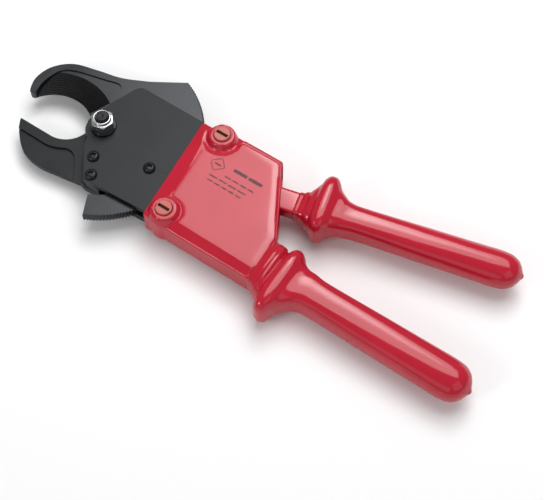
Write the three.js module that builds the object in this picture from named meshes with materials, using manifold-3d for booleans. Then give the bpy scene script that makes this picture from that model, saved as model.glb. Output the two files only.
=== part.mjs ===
// Insulated one-hand ratchet cable cutter, in millimetres.
//
// Frame: the origin is on the blade's pivot axis, on the flat of the pivot bolt's head that the
// tool lies on. +X runs back along the fixed handle, +Y towards the moving handle, and +Z up to
// the pivot nut. The tool is drawn with its jaws fully open.

import * as THREE from "three";
import { ConvexGeometry } from "three/addons/geometries/ConvexGeometry.js";
import { mergeVertices } from "three/addons/utils/BufferGeometryUtils.js";
import Module from "manifold-3d";

const wasm = await Module();
wasm.setup();

// ---------------------------------------------------------------- driving dimensions

const GAP = 0.3; // between pieces that touch or run on each other
const ROUND_SIDES = 24; // sides of a round bore or pin
const DEGREE = Math.PI / 180;

// thickness of the three layers of the head
const REAR_PLATE_THICKNESS = 5;
const BLADE_THICKNESS = 6;
const FRONT_PLATE_THICKNESS = 3;

// blade pivot: an M8 bolt, washer and self-locking nut
const PIVOT_RADIUS = 4;
const PIVOT_HEX = 3.25 * PIVOT_RADIUS; // across flats
const PIVOT_HEAD_HEIGHT = 5;
const WASHER_RADIUS = 2 * PIVOT_RADIUS;
const WASHER_THICKNESS = 1.6;
const NUT_HEX_HEIGHT = 6;
const NUT_COLLAR_HEIGHT = 2;
const NUT_COLLAR_RADIUS = PIVOT_RADIUS + 1.7;
const BOLT_PROJECTION = 1.2; // bolt end beyond the nut
const BUSH_WALL = 1.7;

// M4 socket button screws
const BUTTON_RADIUS = 2;
const BUTTON_HEAD_RADIUS = 3.8;
const BUTTON_HEAD_HEIGHT = 2.2;
const BUTTON_SOCKET = 2.5; // across flats
const JAW_SCREWS = { upper: [8.3, -21.1], lower: [15.2, -32.2] };
const STOP_SCREW_INSIDE_RIM = 4.6; // from the inner edge of the toothed rim
const STOP_SCREW_ANGLE = -11.8;
const STOP_SLEEVE_RADIUS = 4;

// toothed sector of the moving blade
const RIM_RADIUS = 62.2; // over the teeth
const RIM_WIDTH = 15; // from the tooth tips to the inner edge
const TOOTH_ANGLE = 1.8;
const TOOTH_DEPTH = 1.2;
const TOOTH_PHASE = 0.2;
const FIRST_TOOTH = -36;
const LAST_TOOTH = 37;
const HUB_RADIUS = PIVOT_RADIUS + 8;

// mouth of the moving jaw: a round cutting edge with a wide ground bevel
const MOUTH_CENTRE = [-31, -16.5];
const MOUTH_RADIUS = 26.5;
const MOUTH_BEVEL = 15;
const BLADE_RECESS = 1;

// fixed jaw: a straight cutting edge that runs into a round throat
const THROAT_CENTRE = [-28.5, -2];
const THROAT_RADIUS = 17.5;
const FIXED_TIP_X = -52.6;
const FIXED_BEVEL = 11;
const JAW_RECESS = 1.5;

// plates behind the jaws
const PLATE_UPPER_Y = 36.9;
const PLATE_LOWER_Y = -37.2;
const PLATE_END_RADIUS = 28; // rear edge of the plates, around the handle pivot

// insulating boot
const BOOT_WALL = 2.4;
const BOOT_FRONT_UPPER_INSIDE_RIM = 12.5;
const BOOT_FRONT_LOWER_INSIDE_RIM = 4.4;
const BOOT_BAND_Y = 36.4; // upper edge of the front band
const BOOT_LOWER_Y = -37.2;
const BOOT_UPPER_Y = 40.3;
const BOOT_NOTCH_BEHIND_SCREW = 5.9; // where the upper edge steps up behind the boss
const BOOT_CORNER_BEHIND_PIVOT = 27.58;
const BOOT_REAR_BEHIND_PIVOT = 54.98;
const BOOT_REAR_Y = -7.5;
const BOOT_BORDER = 5; // sloping border around the raised flat
const BOOT_FRONT_BAND = 9;
const BOOT_BORDER_DROP = 1.6;
const BOSS_FOOT_RADIUS = 10;
const BOSS_TOP_RADIUS = 7.4;
const BOSS_HEIGHT = 2.6;
const COVER_UPPER = { y: 33.1, beyondRim: 12.08 };
const COVER_LOWER = { y: -28.6, beyondRim: 11.29 };
const COVER_SHANK_RADIUS = 2.5;
const COVER_HEAD_RADIUS = 5.2;
const COVER_HEAD_HEIGHT = 4;
const COVER_HEAD_PROUD = 1.4;
const COVER_SLOT_WIDTH = 1.2;
const COVER_SLEEVE_WALL = 1;
const COVER_NUT_HEAD_HEIGHT = 1.6;

// handle pivot and moving lever
const HANDLE_PIVOT_BEYOND_RIM = 17.8;
const HANDLE_PIVOT_ANGLE = 8;
const HANDLE_ANGLE = 13.7; // of the moving handle, open jaws
const HANDLE_MIDDLE = 4.5; // middle of the handle's swing, from the drawn place
const HANDLE_PIN_RADIUS = 4;
const LEVER_BOSS_RADIUS = 8;
const LEVER_WIDTH = 11;
const LEVER_IN_GRIP_END = 31; // left between the end of the lever and the end of its grip

// pawls
const PAWL_LIFT = 0.45; // pawl nose above the tooth crests
const DRIVE_PAWL_LENGTH = 14;
const HOLDING_PAWL_LENGTH = 15;
const HOLDING_TOOTH = -2; // the tooth that the holding pawl works on
const PAWL_SLOPE = 60; // between a pawl and the radius through its nose
const PAWL_EYE_RADIUS = 4.3;
const PAWL_PIN_RADIUS = 2;
const HOLDING_PAWL_THICKNESS = 3.2;
const SPRING_THICKNESS = 0.8;

// moving grip, along the lever from the handle pivot
const SHANK_START = 30;
const SHANK_END = 56;
const SHANK_LOWER = -8.6;
const SHANK_UPPER = 6.6;
const SHANK_THICKNESS = 10;
const MOVING_GRIP_END = 191;
const MOVING_COLLAR_AT = 67;
const MOVING_COLLAR_HALF_WIDTH = 20;
const MOVING_COLLAR_OFFSET = 2.5; // towards the outer side
const MOVING_GRIP_HALF_WIDTH = 9.8; // behind the collar
const MOVING_GRIP_END_HALF_WIDTH = 11.4;

// fixed grip and the tang inside it
const FIXED_HANDLE_Y = -23.2;
const FIXED_GRIP_END = 275;
const FIXED_COLLAR_BEHIND_BOOT = 15.2;
const FIXED_COLLAR_HALF_WIDTH = 23.4;
const FIXED_COLLAR_OFFSET = -4.7;
const FIXED_GRIP_HALF_WIDTH = 11.2;
const FIXED_GRIP_END_HALF_WIDTH = 12.5;
const COLLAR_HALF_HEIGHT = 14;
const GRIP_HALF_HEIGHT = 10.6;
const TANG_WIDTH = 13;
const TANG_IN_GRIP_END = 50; // left between the end of the tang and the end of its grip
const TANG_SPACER_IN_BOOT = 18.2;
const FRONT_RIVET_BEHIND_BOOT = 17.8;
const REAR_RIVET_FROM_TANG_END = 19;
const RIVET_RADIUS = 2.5;

// ---------------------------------------------------------------- levels and shared places

const REAR_Z = PIVOT_HEAD_HEIGHT + GAP;
const BLADE_Z = REAR_Z + REAR_PLATE_THICKNESS + GAP;
const FRONT_Z = BLADE_Z + BLADE_THICKNESS + GAP;
const FRONT_TOP = FRONT_Z + FRONT_PLATE_THICKNESS;
const MIDDLE_Z = (REAR_Z + FRONT_TOP) / 2;
const WASHER_Z = FRONT_TOP + GAP;
const NUT_Z = WASHER_Z + WASHER_THICKNESS + GAP;
const NUT_TOP = NUT_Z + NUT_HEX_HEIGHT + NUT_COLLAR_HEIGHT;
const BOOT_BOTTOM = REAR_Z - GAP - BOOT_WALL;
const BOOT_TOP = FRONT_TOP + GAP + BOOT_WALL;
const BOSS_TOP = BOOT_TOP + BOSS_HEIGHT;
const BELOW = -40; // well below and above everything, for cuts that go right through
const ABOVE = 70;

const RIM_INNER_RADIUS = RIM_RADIUS - RIM_WIDTH;
const HANDLE_PIVOT_DISTANCE = RIM_RADIUS + HANDLE_PIVOT_BEYOND_RIM; // from the blade pivot
const HANDLE_PIVOT = polar(HANDLE_PIVOT_DISTANCE, HANDLE_PIVOT_ANGLE);
const STOP_SCREW_DISTANCE = RIM_INNER_RADIUS - STOP_SCREW_INSIDE_RIM;
const STOP_SCREW = polar(STOP_SCREW_DISTANCE, STOP_SCREW_ANGLE);
const COVER_SCREWS = { upper: besideRim(COVER_UPPER), lower: besideRim(COVER_LOWER) };
const BOOT_FRONT_UPPER_X = RIM_RADIUS - BOOT_FRONT_UPPER_INSIDE_RIM;
const BOOT_FRONT_LOWER_X = RIM_RADIUS - BOOT_FRONT_LOWER_INSIDE_RIM;
const BOOT_NOTCH_X = COVER_SCREWS.upper[0] + BOOT_NOTCH_BEHIND_SCREW;
const BOOT_CORNER_X = HANDLE_PIVOT[0] + BOOT_CORNER_BEHIND_PIVOT;
const BOOT_REAR_X = HANDLE_PIVOT[0] + BOOT_REAR_BEHIND_PIVOT;
const FIXED_COLLAR_AT = BOOT_REAR_X + FIXED_COLLAR_BEHIND_BOOT;
const TANG_SPACER_START = BOOT_REAR_X - TANG_SPACER_IN_BOOT;
const TANG_END = FIXED_GRIP_END - TANG_IN_GRIP_END;
const TANG_RIVETS = [BOOT_REAR_X + FRONT_RIVET_BEHIND_BOOT, TANG_END - REAR_RIVET_FROM_TANG_END];
const LEVER_THICKNESS = BLADE_THICKNESS - 2 * GAP;
const LEVER_LENGTH = MOVING_GRIP_END - LEVER_IN_GRIP_END;
const LEVER_Z = BLADE_Z + GAP;
const DRIVE_PAWL_Z = LEVER_Z + LEVER_THICKNESS / 2;

// The boot covers the plates up to this slanting line, which leans like its front edge.
function bootFrontX(y) {
  const share = (BOOT_BAND_Y - y) / (BOOT_BAND_Y - BOOT_LOWER_Y);
  return BOOT_FRONT_UPPER_X + (BOOT_FRONT_LOWER_X - BOOT_FRONT_UPPER_X) * share;
}

// Where the plates run inside the boot they are narrower, so that the boot is flush with them.
const PLATE_INNER_UPPER_Y = BOOT_BAND_Y - BOOT_WALL - GAP;
const PLATE_INNER_LOWER_Y = BOOT_LOWER_Y + BOOT_WALL + GAP;

// The place at a given height across the tool that is a set distance outside the toothed rim.
function besideRim({ y, beyondRim }) {
  return [Math.sqrt((RIM_RADIUS + beyondRim) ** 2 - y ** 2), y];
}

// ---------------------------------------------------------------- solids

function polar(radius, degrees, centre = [0, 0]) {
  const angle = degrees * DEGREE;
  return [centre[0] + radius * Math.cos(angle), centre[1] + radius * Math.sin(angle)];
}

// A closed three.js geometry as a solid that can be cut and joined.
function solid(geometry) {
  const bare = geometry.clone();
  bare.deleteAttribute("normal");
  bare.deleteAttribute("uv");
  const merged = mergeVertices(bare, 1e-4);
  const corners = merged.index.array;
  const triangles = [];
  for (let i = 0; i < corners.length; i += 3) {
    const [a, b, c] = corners.slice(i, i + 3);
    if (a !== b && b !== c && c !== a) triangles.push(a, b, c);
  }
  return new wasm.Manifold(
    new wasm.Mesh({
      numProp: 3,
      vertProperties: new Float32Array(merged.attributes.position.array),
      triVerts: new Uint32Array(triangles),
    }),
  );
}

function geometryOf(body) {
  const mesh = body.getMesh();
  const geometry = new THREE.BufferGeometry();
  geometry.setAttribute("position", new THREE.BufferAttribute(mesh.vertProperties, 3));
  geometry.setIndex(new THREE.BufferAttribute(mesh.triVerts, 1));
  geometry.computeVertexNormals();
  return geometry;
}

function join(first, ...others) {
  return others.reduce((sum, body) => sum.add(body), first);
}

function cut(first, ...tools) {
  return tools.reduce((rest, tool) => rest.subtract(tool), first);
}

// A plan outline raised from one level to another.
function slab(shape, low, high, curveSegments = 6) {
  const geometry = new THREE.ExtrudeGeometry(shape, {
    depth: high - low,
    bevelEnabled: false,
    curveSegments,
  });
  return solid(geometry.translate(0, 0, low));
}

function outline(points) {
  return new THREE.Shape(points.map(([x, y]) => new THREE.Vector2(x, y)));
}

function block(x0, y0, z0, x1, y1, z1) {
  const geometry = new THREE.BoxGeometry(x1 - x0, y1 - y0, z1 - z0);
  return solid(geometry.translate((x0 + x1) / 2, (y0 + y1) / 2, (z0 + z1) / 2));
}

// A body turned about a vertical axis through centre, from [radius, height] points.
function turned(centre, profile, sides = ROUND_SIDES) {
  const points = profile.map(([radius, height]) => new THREE.Vector2(radius, height));
  const geometry = new THREE.LatheGeometry(points, sides);
  return solid(geometry.rotateX(Math.PI / 2).translate(centre[0], centre[1], 0));
}

function pin(centre, radius, low, high, sides = ROUND_SIDES) {
  const profile = [
    [0, low],
    [radius, low],
    [radius, high],
    [0, high],
  ];
  return turned(centre, profile, sides);
}

function bore(centre, radius) {
  return pin(centre, radius + GAP, BELOW, ABOVE);
}

function sleeve(centre, inner, outer, low, high) {
  return cut(pin(centre, outer, low, high), pin(centre, inner, BELOW, ABOVE));
}

function hexagon(centre, acrossFlats, low, high, turn = 0) {
  const radius = acrossFlats / Math.sqrt(3);
  const corners = [];
  for (let i = 0; i < 6; i += 1) corners.push(polar(radius, 60 * i + turn, centre));
  return slab(outline(corners), low, high);
}

// ---------------------------------------------------------------- moving blade

// Saw teeth on the rim: each steep face looks clockwise, so that a pawl pushes the blade
// anticlockwise and slides over the teeth on its way back.
function addTeeth(shape) {
  for (let tooth = LAST_TOOTH; tooth >= FIRST_TOOTH; tooth -= 1) {
    const angle = TOOTH_PHASE + tooth * TOOTH_ANGLE;
    shape.lineTo(...polar(RIM_RADIUS - TOOTH_DEPTH, angle + TOOTH_ANGLE - 0.02));
    shape.lineTo(...polar(RIM_RADIUS, angle));
  }
}

function bladeOutline() {
  const rimStart = TOOTH_PHASE + (LAST_TOOTH + 1) * TOOTH_ANGLE;
  const rimEnd = TOOTH_PHASE + FIRST_TOOTH * TOOTH_ANGLE;
  const armSide = STOP_SCREW_ANGLE + (STOP_SLEEVE_RADIUS + GAP) / STOP_SCREW_DISTANCE / DEGREE;
  const shape = new THREE.Shape();
  shape.moveTo(-54.6, -3.4);
  shape.splineThru(
    [
      [-57.4, -2.6],
      [-60.4, 7],
      [-57.2, 19],
      [-47, 28.8],
      [-30, 33.6],
      [-14.7, 37.2],
      [2, 45],
    ].map(([x, y]) => new THREE.Vector2(x, y)),
  );
  shape.lineTo(...polar(RIM_RADIUS, rimStart));
  addTeeth(shape);
  shape.lineTo(...polar(RIM_INNER_RADIUS, rimEnd));
  shape.absarc(0, 0, RIM_INNER_RADIUS, rimEnd * DEGREE, (armSide + 1) * DEGREE, false);
  shape.lineTo(...polar(HUB_RADIUS + 4, armSide - 14));
  shape.absarc(0, 0, HUB_RADIUS, (armSide - 30) * DEGREE, 158 * DEGREE, true);
  shape.absarc(...MOUTH_CENTRE, MOUTH_RADIUS, 50 * DEGREE, 149 * DEGREE, false);
  return shape;
}

// The ground part of the moving jaw, seen from above.
function bladeGroundOutline() {
  const shape = new THREE.Shape();
  shape.moveTo(-53, -3);
  shape.splineThru(
    [
      [-54.4, 7],
      [-51, 19.3],
      [-43, 25.1],
      [-23, 30.3],
      [-12.6, 32.4],
      [-7.6, 26.5],
      [-8.3, 19.6],
    ].map(([x, y]) => new THREE.Vector2(x, y)),
  );
  shape.lineTo(-13, 8);
  shape.lineTo(-16, 2);
  shape.lineTo(...MOUTH_CENTRE);
  return shape;
}

function movingBlade() {
  const top = BLADE_Z + BLADE_THICKNESS;
  const body = slab(bladeOutline(), BLADE_Z, top);
  const ground = slab(bladeGroundOutline(), BLADE_Z - 1, ABOVE, 3);
  const slope = (BLADE_THICKNESS - BLADE_RECESS) / (MOUTH_BEVEL - 1);
  const bevel = turned(
    MOUTH_CENTRE,
    [
      [0, BLADE_Z - 1],
      [MOUTH_RADIUS - 1 / slope, BLADE_Z - 1],
      [MOUTH_RADIUS + (BLADE_THICKNESS + 1) / slope, top + 1],
      [0, top + 1],
    ],
    60,
  );
  const recess = slab(bladeGroundOutline(), top - BLADE_RECESS, ABOVE, 3);
  const bushHole = pin([0, 0], PIVOT_RADIUS + BUSH_WALL + 2 * GAP, BELOW, ABOVE);
  return cut(body, bevel.intersect(ground), recess, bushHole);
}

// ---------------------------------------------------------------- plates and fixed jaw

// Edge of both plates from the upper front corner of the boot, round the handle pivot and the
// tang, to the lower front corner of the boot.
function addRearEdge(shape) {
  const tangUpper = FIXED_HANDLE_Y + TANG_WIDTH / 2;
  const tangLower = FIXED_HANDLE_Y - TANG_WIDTH / 2;
  const upperAngle = Math.asin((PLATE_INNER_UPPER_Y - HANDLE_PIVOT[1]) / PLATE_END_RADIUS);
  shape.lineTo(bootFrontX(PLATE_UPPER_Y) - GAP, PLATE_UPPER_Y);
  shape.lineTo(bootFrontX(PLATE_INNER_UPPER_Y) - GAP, PLATE_INNER_UPPER_Y);
  shape.absarc(...HANDLE_PIVOT, PLATE_END_RADIUS, upperAngle, -32 * DEGREE, true);
  shape.lineTo(TANG_SPACER_START, tangUpper);
  shape.lineTo(TANG_END, tangUpper);
  shape.lineTo(TANG_END, tangLower);
  shape.lineTo(TANG_SPACER_START + 10, tangLower);
  shape.lineTo(TANG_SPACER_START, PLATE_INNER_LOWER_Y);
  shape.lineTo(bootFrontX(PLATE_INNER_LOWER_Y) - GAP, PLATE_INNER_LOWER_Y);
}

function frontPlateOutline() {
  const hub = HUB_RADIUS - 1.2;
  const shape = new THREE.Shape();
  shape.moveTo(12.8, PLATE_LOWER_Y);
  shape.lineTo(9.1, -32.2);
  shape.lineTo(-1.8, -17.8);
  shape.absarc(0, 0, hub, 245 * DEGREE, 178 * DEGREE, true);
  shape.lineTo(-6.4, 17.7);
  shape.lineTo(-1.3, 31.7);
  shape.quadraticCurveTo(0.2, PLATE_UPPER_Y - 0.8, 3.5, PLATE_UPPER_Y);
  addRearEdge(shape);
  return shape;
}

function rearPlateOutline() {
  const shape = new THREE.Shape();
  shape.moveTo(12.8, PLATE_LOWER_Y);
  shape.lineTo(7.8, -36.2);
  shape.splineThru(
    [
      [-8, -38.7],
      [-22.6, -40.4],
      [-36, -37.4],
      [-46.7, -28.6],
      [FIXED_TIP_X + 0.8, -21],
    ].map(([x, y]) => new THREE.Vector2(x, y)),
  );
  shape.lineTo(FIXED_TIP_X, -18.1);
  shape.absarc(...THROAT_CENTRE, THROAT_RADIUS, -90 * DEGREE, -14 * DEGREE, false);
  shape.absarc(0, 0, HUB_RADIUS, 205 * DEGREE, 150 * DEGREE, true);
  shape.lineTo(-6.4, 17.7);
  shape.lineTo(-1.3, 31.7);
  shape.quadraticCurveTo(0.2, PLATE_UPPER_Y - 0.8, 3.5, PLATE_UPPER_Y);
  addRearEdge(shape);
  return shape;
}

// Everything that passes through both plates.
function plateHoles() {
  return [
    bore([0, 0], PIVOT_RADIUS),
    bore(JAW_SCREWS.upper, BUTTON_RADIUS),
    bore(JAW_SCREWS.lower, BUTTON_RADIUS),
    bore(STOP_SCREW, BUTTON_RADIUS),
    bore(COVER_SCREWS.upper, COVER_SHANK_RADIUS + COVER_SLEEVE_WALL),
    bore(COVER_SCREWS.lower, COVER_SHANK_RADIUS + COVER_SLEEVE_WALL),
    bore(HANDLE_PIVOT, HANDLE_PIN_RADIUS),
    bore(HOLDING_PIN, PAWL_PIN_RADIUS),
    ...TANG_RIVETS.map((x) => bore([x, FIXED_HANDLE_Y], RIVET_RADIUS)),
  ];
}

function frontPlate() {
  return cut(slab(frontPlateOutline(), FRONT_Z, FRONT_TOP), ...plateHoles());
}

// The cutting edge of the fixed jaw is at its upper face, and its bevel is ground below.
function fixedJawBevel() {
  const top = REAR_Z + REAR_PLATE_THICKNESS;
  const slope = REAR_PLATE_THICKNESS / FIXED_BEVEL;
  const edgeY = THROAT_CENTRE[1] - THROAT_RADIUS;
  const throat = turned(
    THROAT_CENTRE,
    [
      [0, REAR_Z - 1],
      [THROAT_RADIUS + (REAR_PLATE_THICKNESS + 1) / slope, REAR_Z - 1],
      [THROAT_RADIUS - 1 / slope, top + 1],
      [0, top + 1],
    ],
    48,
  );
  const side = outline([
    [edgeY + 1 / slope, top + 1],
    [edgeY - (REAR_PLATE_THICKNESS + 1) / slope, REAR_Z - 1],
    [edgeY + 20, REAR_Z - 1],
    [edgeY + 20, top + 1],
  ]);
  const straight = new THREE.ExtrudeGeometry(side, { depth: 60, bevelEnabled: false });
  straight.rotateX(Math.PI / 2).rotateZ(Math.PI / 2);
  straight.translate(THROAT_CENTRE[0] - 60, 0, 0);
  const limit = outline([
    [-70, 5],
    [-12.5, 5],
    [-13.5, -22],
    [-24, -34],
    [-70, -34],
  ]);
  return join(throat, solid(straight)).intersect(slab(limit, BELOW, ABOVE));
}

function fixedJawRecess() {
  const shape = new THREE.Shape();
  shape.moveTo(-60, -27);
  shape.lineTo(-46, -26);
  shape.lineTo(-27, -26.2);
  shape.quadraticCurveTo(-21, -25.6, -15.5, -22);
  shape.quadraticCurveTo(-11.5, -20, -7.4, -22.8);
  shape.quadraticCurveTo(-3.5, -26, 3.4, -37);
  shape.lineTo(3.4, -50);
  shape.lineTo(-60, -50);
  return slab(shape, REAR_Z + REAR_PLATE_THICKNESS - JAW_RECESS, ABOVE, 5);
}

function rearPlate() {
  const body = slab(rearPlateOutline(), REAR_Z, REAR_Z + REAR_PLATE_THICKNESS);
  return cut(body, fixedJawBevel(), fixedJawRecess(), ...plateHoles());
}

// The block that keeps the plates apart behind the jaws follows the blade's hub.
function jawSpacer() {
  const shape = outline([
    [2, -13],
    [13, -13],
    [23.6, -22],
    [23.6, PLATE_LOWER_Y + 0.5],
    [13.4, PLATE_LOWER_Y + 0.5],
    [10, -32.2],
    [0.4, -19],
  ]);
  const hub = pin([0, 0], HUB_RADIUS + 2 * GAP, BELOW, ABOVE, 48);
  const screws = Object.values(JAW_SCREWS).map((place) => bore(place, BUTTON_RADIUS));
  return cut(slab(shape, BLADE_Z, BLADE_Z + BLADE_THICKNESS), hub, ...screws);
}

function tangSpacer() {
  const halfWidth = TANG_WIDTH / 2;
  const body = block(
    TANG_SPACER_START,
    FIXED_HANDLE_Y - halfWidth,
    BLADE_Z,
    TANG_END,
    FIXED_HANDLE_Y + halfWidth,
    BLADE_Z + BLADE_THICKNESS,
  );
  return cut(body, ...TANG_RIVETS.map((x) => bore([x, FIXED_HANDLE_Y], RIVET_RADIUS)));
}

// ---------------------------------------------------------------- fasteners of the head

function pivotBolt() {
  const head = hexagon([0, 0], PIVOT_HEX, 0, PIVOT_HEAD_HEIGHT, 11);
  return join(head, pin([0, 0], PIVOT_RADIUS, PIVOT_HEAD_HEIGHT / 2, NUT_TOP + BOLT_PROJECTION));
}

function pivotNut() {
  const collarLow = NUT_Z + NUT_HEX_HEIGHT;
  const hex = hexagon([0, 0], PIVOT_HEX, NUT_Z, collarLow, 11);
  const chamfer = turned(
    [0, 0],
    [
      [0, NUT_Z - 2],
      [PIVOT_HEX, NUT_Z - 2],
      [PIVOT_HEX, collarLow - 3.6],
      [PIVOT_HEX / 2 - 0.2, collarLow],
      [0, collarLow],
    ],
    48,
  );
  const collar = pin([0, 0], NUT_COLLAR_RADIUS, collarLow - 1, NUT_TOP);
  const insertSeat = pin([0, 0], NUT_COLLAR_RADIUS - 0.6, collarLow, ABOVE);
  return cut(join(hex.intersect(chamfer), collar), bore([0, 0], PIVOT_RADIUS), insertSeat);
}

function nutInsert() {
  const low = NUT_Z + NUT_HEX_HEIGHT + GAP;
  return sleeve([0, 0], PIVOT_RADIUS + GAP, NUT_COLLAR_RADIUS - 0.6 - GAP, low, NUT_TOP - 0.4);
}

function buttonScrew(centre) {
  const seat = FRONT_TOP + GAP;
  const body = turned(
    centre,
    [
      [0, REAR_Z + 0.4],
      [BUTTON_RADIUS, REAR_Z + 0.4],
      [BUTTON_RADIUS, seat],
      [BUTTON_HEAD_RADIUS, seat],
      [BUTTON_HEAD_RADIUS, seat + 0.5],
      [BUTTON_HEAD_RADIUS - 0.7, seat + BUTTON_HEAD_HEIGHT - 0.7],
      [BUTTON_HEAD_RADIUS - 1.8, seat + BUTTON_HEAD_HEIGHT],
      [0, seat + BUTTON_HEAD_HEIGHT],
    ],
    24,
  );
  return cut(body, hexagon(centre, BUTTON_SOCKET, seat + 0.8, ABOVE, 20));
}

// Insulated cover screw: a steel shank under a large slotted head that stands in the boss.
function coverScrew(centre) {
  const top = BOSS_TOP + COVER_HEAD_PROUD;
  const body = turned(
    centre,
    [
      [0, BOOT_BOTTOM + GAP],
      [COVER_SHANK_RADIUS, BOOT_BOTTOM + GAP],
      [COVER_SHANK_RADIUS, top - COVER_HEAD_HEIGHT],
      [COVER_HEAD_RADIUS, top - COVER_HEAD_HEIGHT],
      [COVER_HEAD_RADIUS, top - 0.6],
      [COVER_HEAD_RADIUS - 0.6, top],
      [0, top],
    ],
    24,
  );
  return cut(body, coverSlot(centre, top));
}

function coverSlot(centre, top) {
  const half = COVER_HEAD_RADIUS * 0.78;
  const slot = COVER_SLOT_WIDTH / 2;
  return block(centre[0] - half, centre[1] - slot, top - 1.6, centre[0] + half, centre[1] + slot, top + 5);
}

// Cap nut on the underside: a low head against the boot and a threaded sleeve up through it.
function coverNut(centre) {
  const seat = BOOT_BOTTOM - GAP;
  const bottom = seat - COVER_NUT_HEAD_HEIGHT;
  const sleeveRadius = COVER_SHANK_RADIUS + COVER_SLEEVE_WALL;
  const body = turned(
    centre,
    [
      [0, bottom],
      [COVER_HEAD_RADIUS - 0.6, bottom],
      [COVER_HEAD_RADIUS, bottom + 0.6],
      [COVER_HEAD_RADIUS, seat],
      [sleeveRadius, seat],
      [sleeveRadius, MIDDLE_Z],
      [0, MIDDLE_Z],
    ],
    24,
  );
  return cut(body, pin(centre, COVER_SHANK_RADIUS + GAP, seat - 0.4, ABOVE));
}

// ---------------------------------------------------------------- insulating boot

// Raised flat in the middle, a border that slopes down from it, and straight side walls.
function bootPillow() {
  const edge = [
    [BOOT_FRONT_LOWER_X, BOOT_LOWER_Y],
    [BOOT_REAR_X, BOOT_LOWER_Y],
    [BOOT_REAR_X, BOOT_REAR_Y],
    [BOOT_CORNER_X + 1.8, BOOT_UPPER_Y - 3],
    [BOOT_CORNER_X + 0.4, BOOT_UPPER_Y - 0.8],
    [BOOT_CORNER_X - 2, BOOT_UPPER_Y],
    [bootFrontX(BOOT_UPPER_Y), BOOT_UPPER_Y],
  ];
  const lowerFlat = BOOT_LOWER_Y + BOOT_BORDER;
  const upperFlat = BOOT_UPPER_Y - BOOT_BORDER;
  const flat = [
    [bootFrontX(lowerFlat) + BOOT_FRONT_BAND, lowerFlat],
    [BOOT_REAR_X - 1, lowerFlat],
    [BOOT_REAR_X - 1, BOOT_REAR_Y - 2],
    [BOOT_CORNER_X - 2.6, upperFlat],
    [bootFrontX(upperFlat) + BOOT_FRONT_BAND, upperFlat],
  ];
  const corners = [];
  for (const [x, y] of edge) {
    corners.push(new THREE.Vector3(x, y, BOOT_BOTTOM + BOOT_BORDER_DROP));
    corners.push(new THREE.Vector3(x, y, BOOT_TOP - BOOT_BORDER_DROP));
  }
  for (const [x, y] of flat) {
    corners.push(new THREE.Vector3(x, y, BOOT_BOTTOM));
    corners.push(new THREE.Vector3(x, y, BOOT_TOP));
  }
  return solid(new ConvexGeometry(corners));
}

function boss(centre) {
  return turned(
    centre,
    [
      [0, BOOT_BOTTOM + BOOT_BORDER_DROP],
      [BOSS_TOP_RADIUS, BOOT_BOTTOM + BOOT_BORDER_DROP],
      [BOSS_TOP_RADIUS, BOOT_TOP - BOOT_BORDER_DROP],
      [BOSS_FOOT_RADIUS, BOOT_TOP],
      [BOSS_TOP_RADIUS, BOSS_TOP],
      [0, BOSS_TOP],
    ],
    28,
  );
}

// The hollow of the boot is open at the front, for the plates and the sector, and along the
// slanting rear edge, for the moving handle.
function bootHollow() {
  const wall = BOOT_WALL;
  const upper = BOOT_UPPER_Y - wall;
  const shape = outline([
    [bootFrontX(PLATE_INNER_LOWER_Y) - 20, PLATE_INNER_LOWER_Y - GAP],
    [BOOT_REAR_X - wall, PLATE_INNER_LOWER_Y - GAP],
    [BOOT_REAR_X - wall, BOOT_REAR_Y + 3],
    [BOOT_REAR_X + 20, BOOT_REAR_Y + 3 + 20],
    [BOOT_CORNER_X + 40, upper],
    [BOOT_NOTCH_X + wall + 2, upper],
    [BOOT_NOTCH_X + wall + 2, PLATE_INNER_UPPER_Y + GAP],
    [BOOT_FRONT_UPPER_X - 20, PLATE_INNER_UPPER_Y + GAP],
  ]);
  return slab(shape, REAR_Z - GAP, FRONT_TOP + GAP);
}

function insulatingBoot() {
  const notch = block(0, BOOT_BAND_Y, BELOW, BOOT_NOTCH_X, BOOT_UPPER_Y + 5, ABOVE);
  const rimSlot = pin([0, 0], RIM_RADIUS + 3 * GAP, BLADE_Z - 2 * GAP, FRONT_Z + GAP, 48);
  const tangWindow = block(
    BOOT_REAR_X - 20,
    FIXED_HANDLE_Y - TANG_WIDTH / 2 - GAP,
    REAR_Z - GAP,
    BOOT_REAR_X + 20,
    FIXED_HANDLE_Y + TANG_WIDTH / 2 + GAP,
    FRONT_TOP + GAP,
  );
  const body = cut(bootPillow(), notch);
  const bosses = Object.values(COVER_SCREWS).map(boss);
  const tools = [bootHollow(), rimSlot, tangWindow];
  for (const place of Object.values(COVER_SCREWS)) {
    const headLow = BOSS_TOP + COVER_HEAD_PROUD - COVER_HEAD_HEIGHT;
    tools.push(pin(place, COVER_HEAD_RADIUS + GAP, headLow - GAP, ABOVE));
    tools.push(bore(place, COVER_SHANK_RADIUS + COVER_SLEEVE_WALL));
  }
  return cut(join(body, ...bosses), ...tools);
}

// ---------------------------------------------------------------- pawls

// Places of a pawl's nose and pin. The strut leans against the radius through its nose, so that
// its push is mostly along the rim.
function pawlPlaces(nose, length) {
  const angle = Math.atan2(nose[1], nose[0]);
  const outward = [Math.cos(angle), Math.sin(angle)];
  const along = [-outward[1], outward[0]];
  const back = Math.sin(PAWL_SLOPE * DEGREE) * length;
  const out = Math.cos(PAWL_SLOPE * DEGREE) * length;
  const at = (tangential, radial) => [
    nose[0] + tangential * along[0] + radial * outward[0],
    nose[1] + tangential * along[1] + radial * outward[1],
  ];
  return { eye: at(-back, out), at };
}

function driveNose() {
  const reach = HANDLE_PIVOT_DISTANCE - RIM_RADIUS - PAWL_LIFT;
  return polar(reach, 180 + HANDLE_PIVOT_ANGLE - HANDLE_MIDDLE, HANDLE_PIVOT);
}

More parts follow.
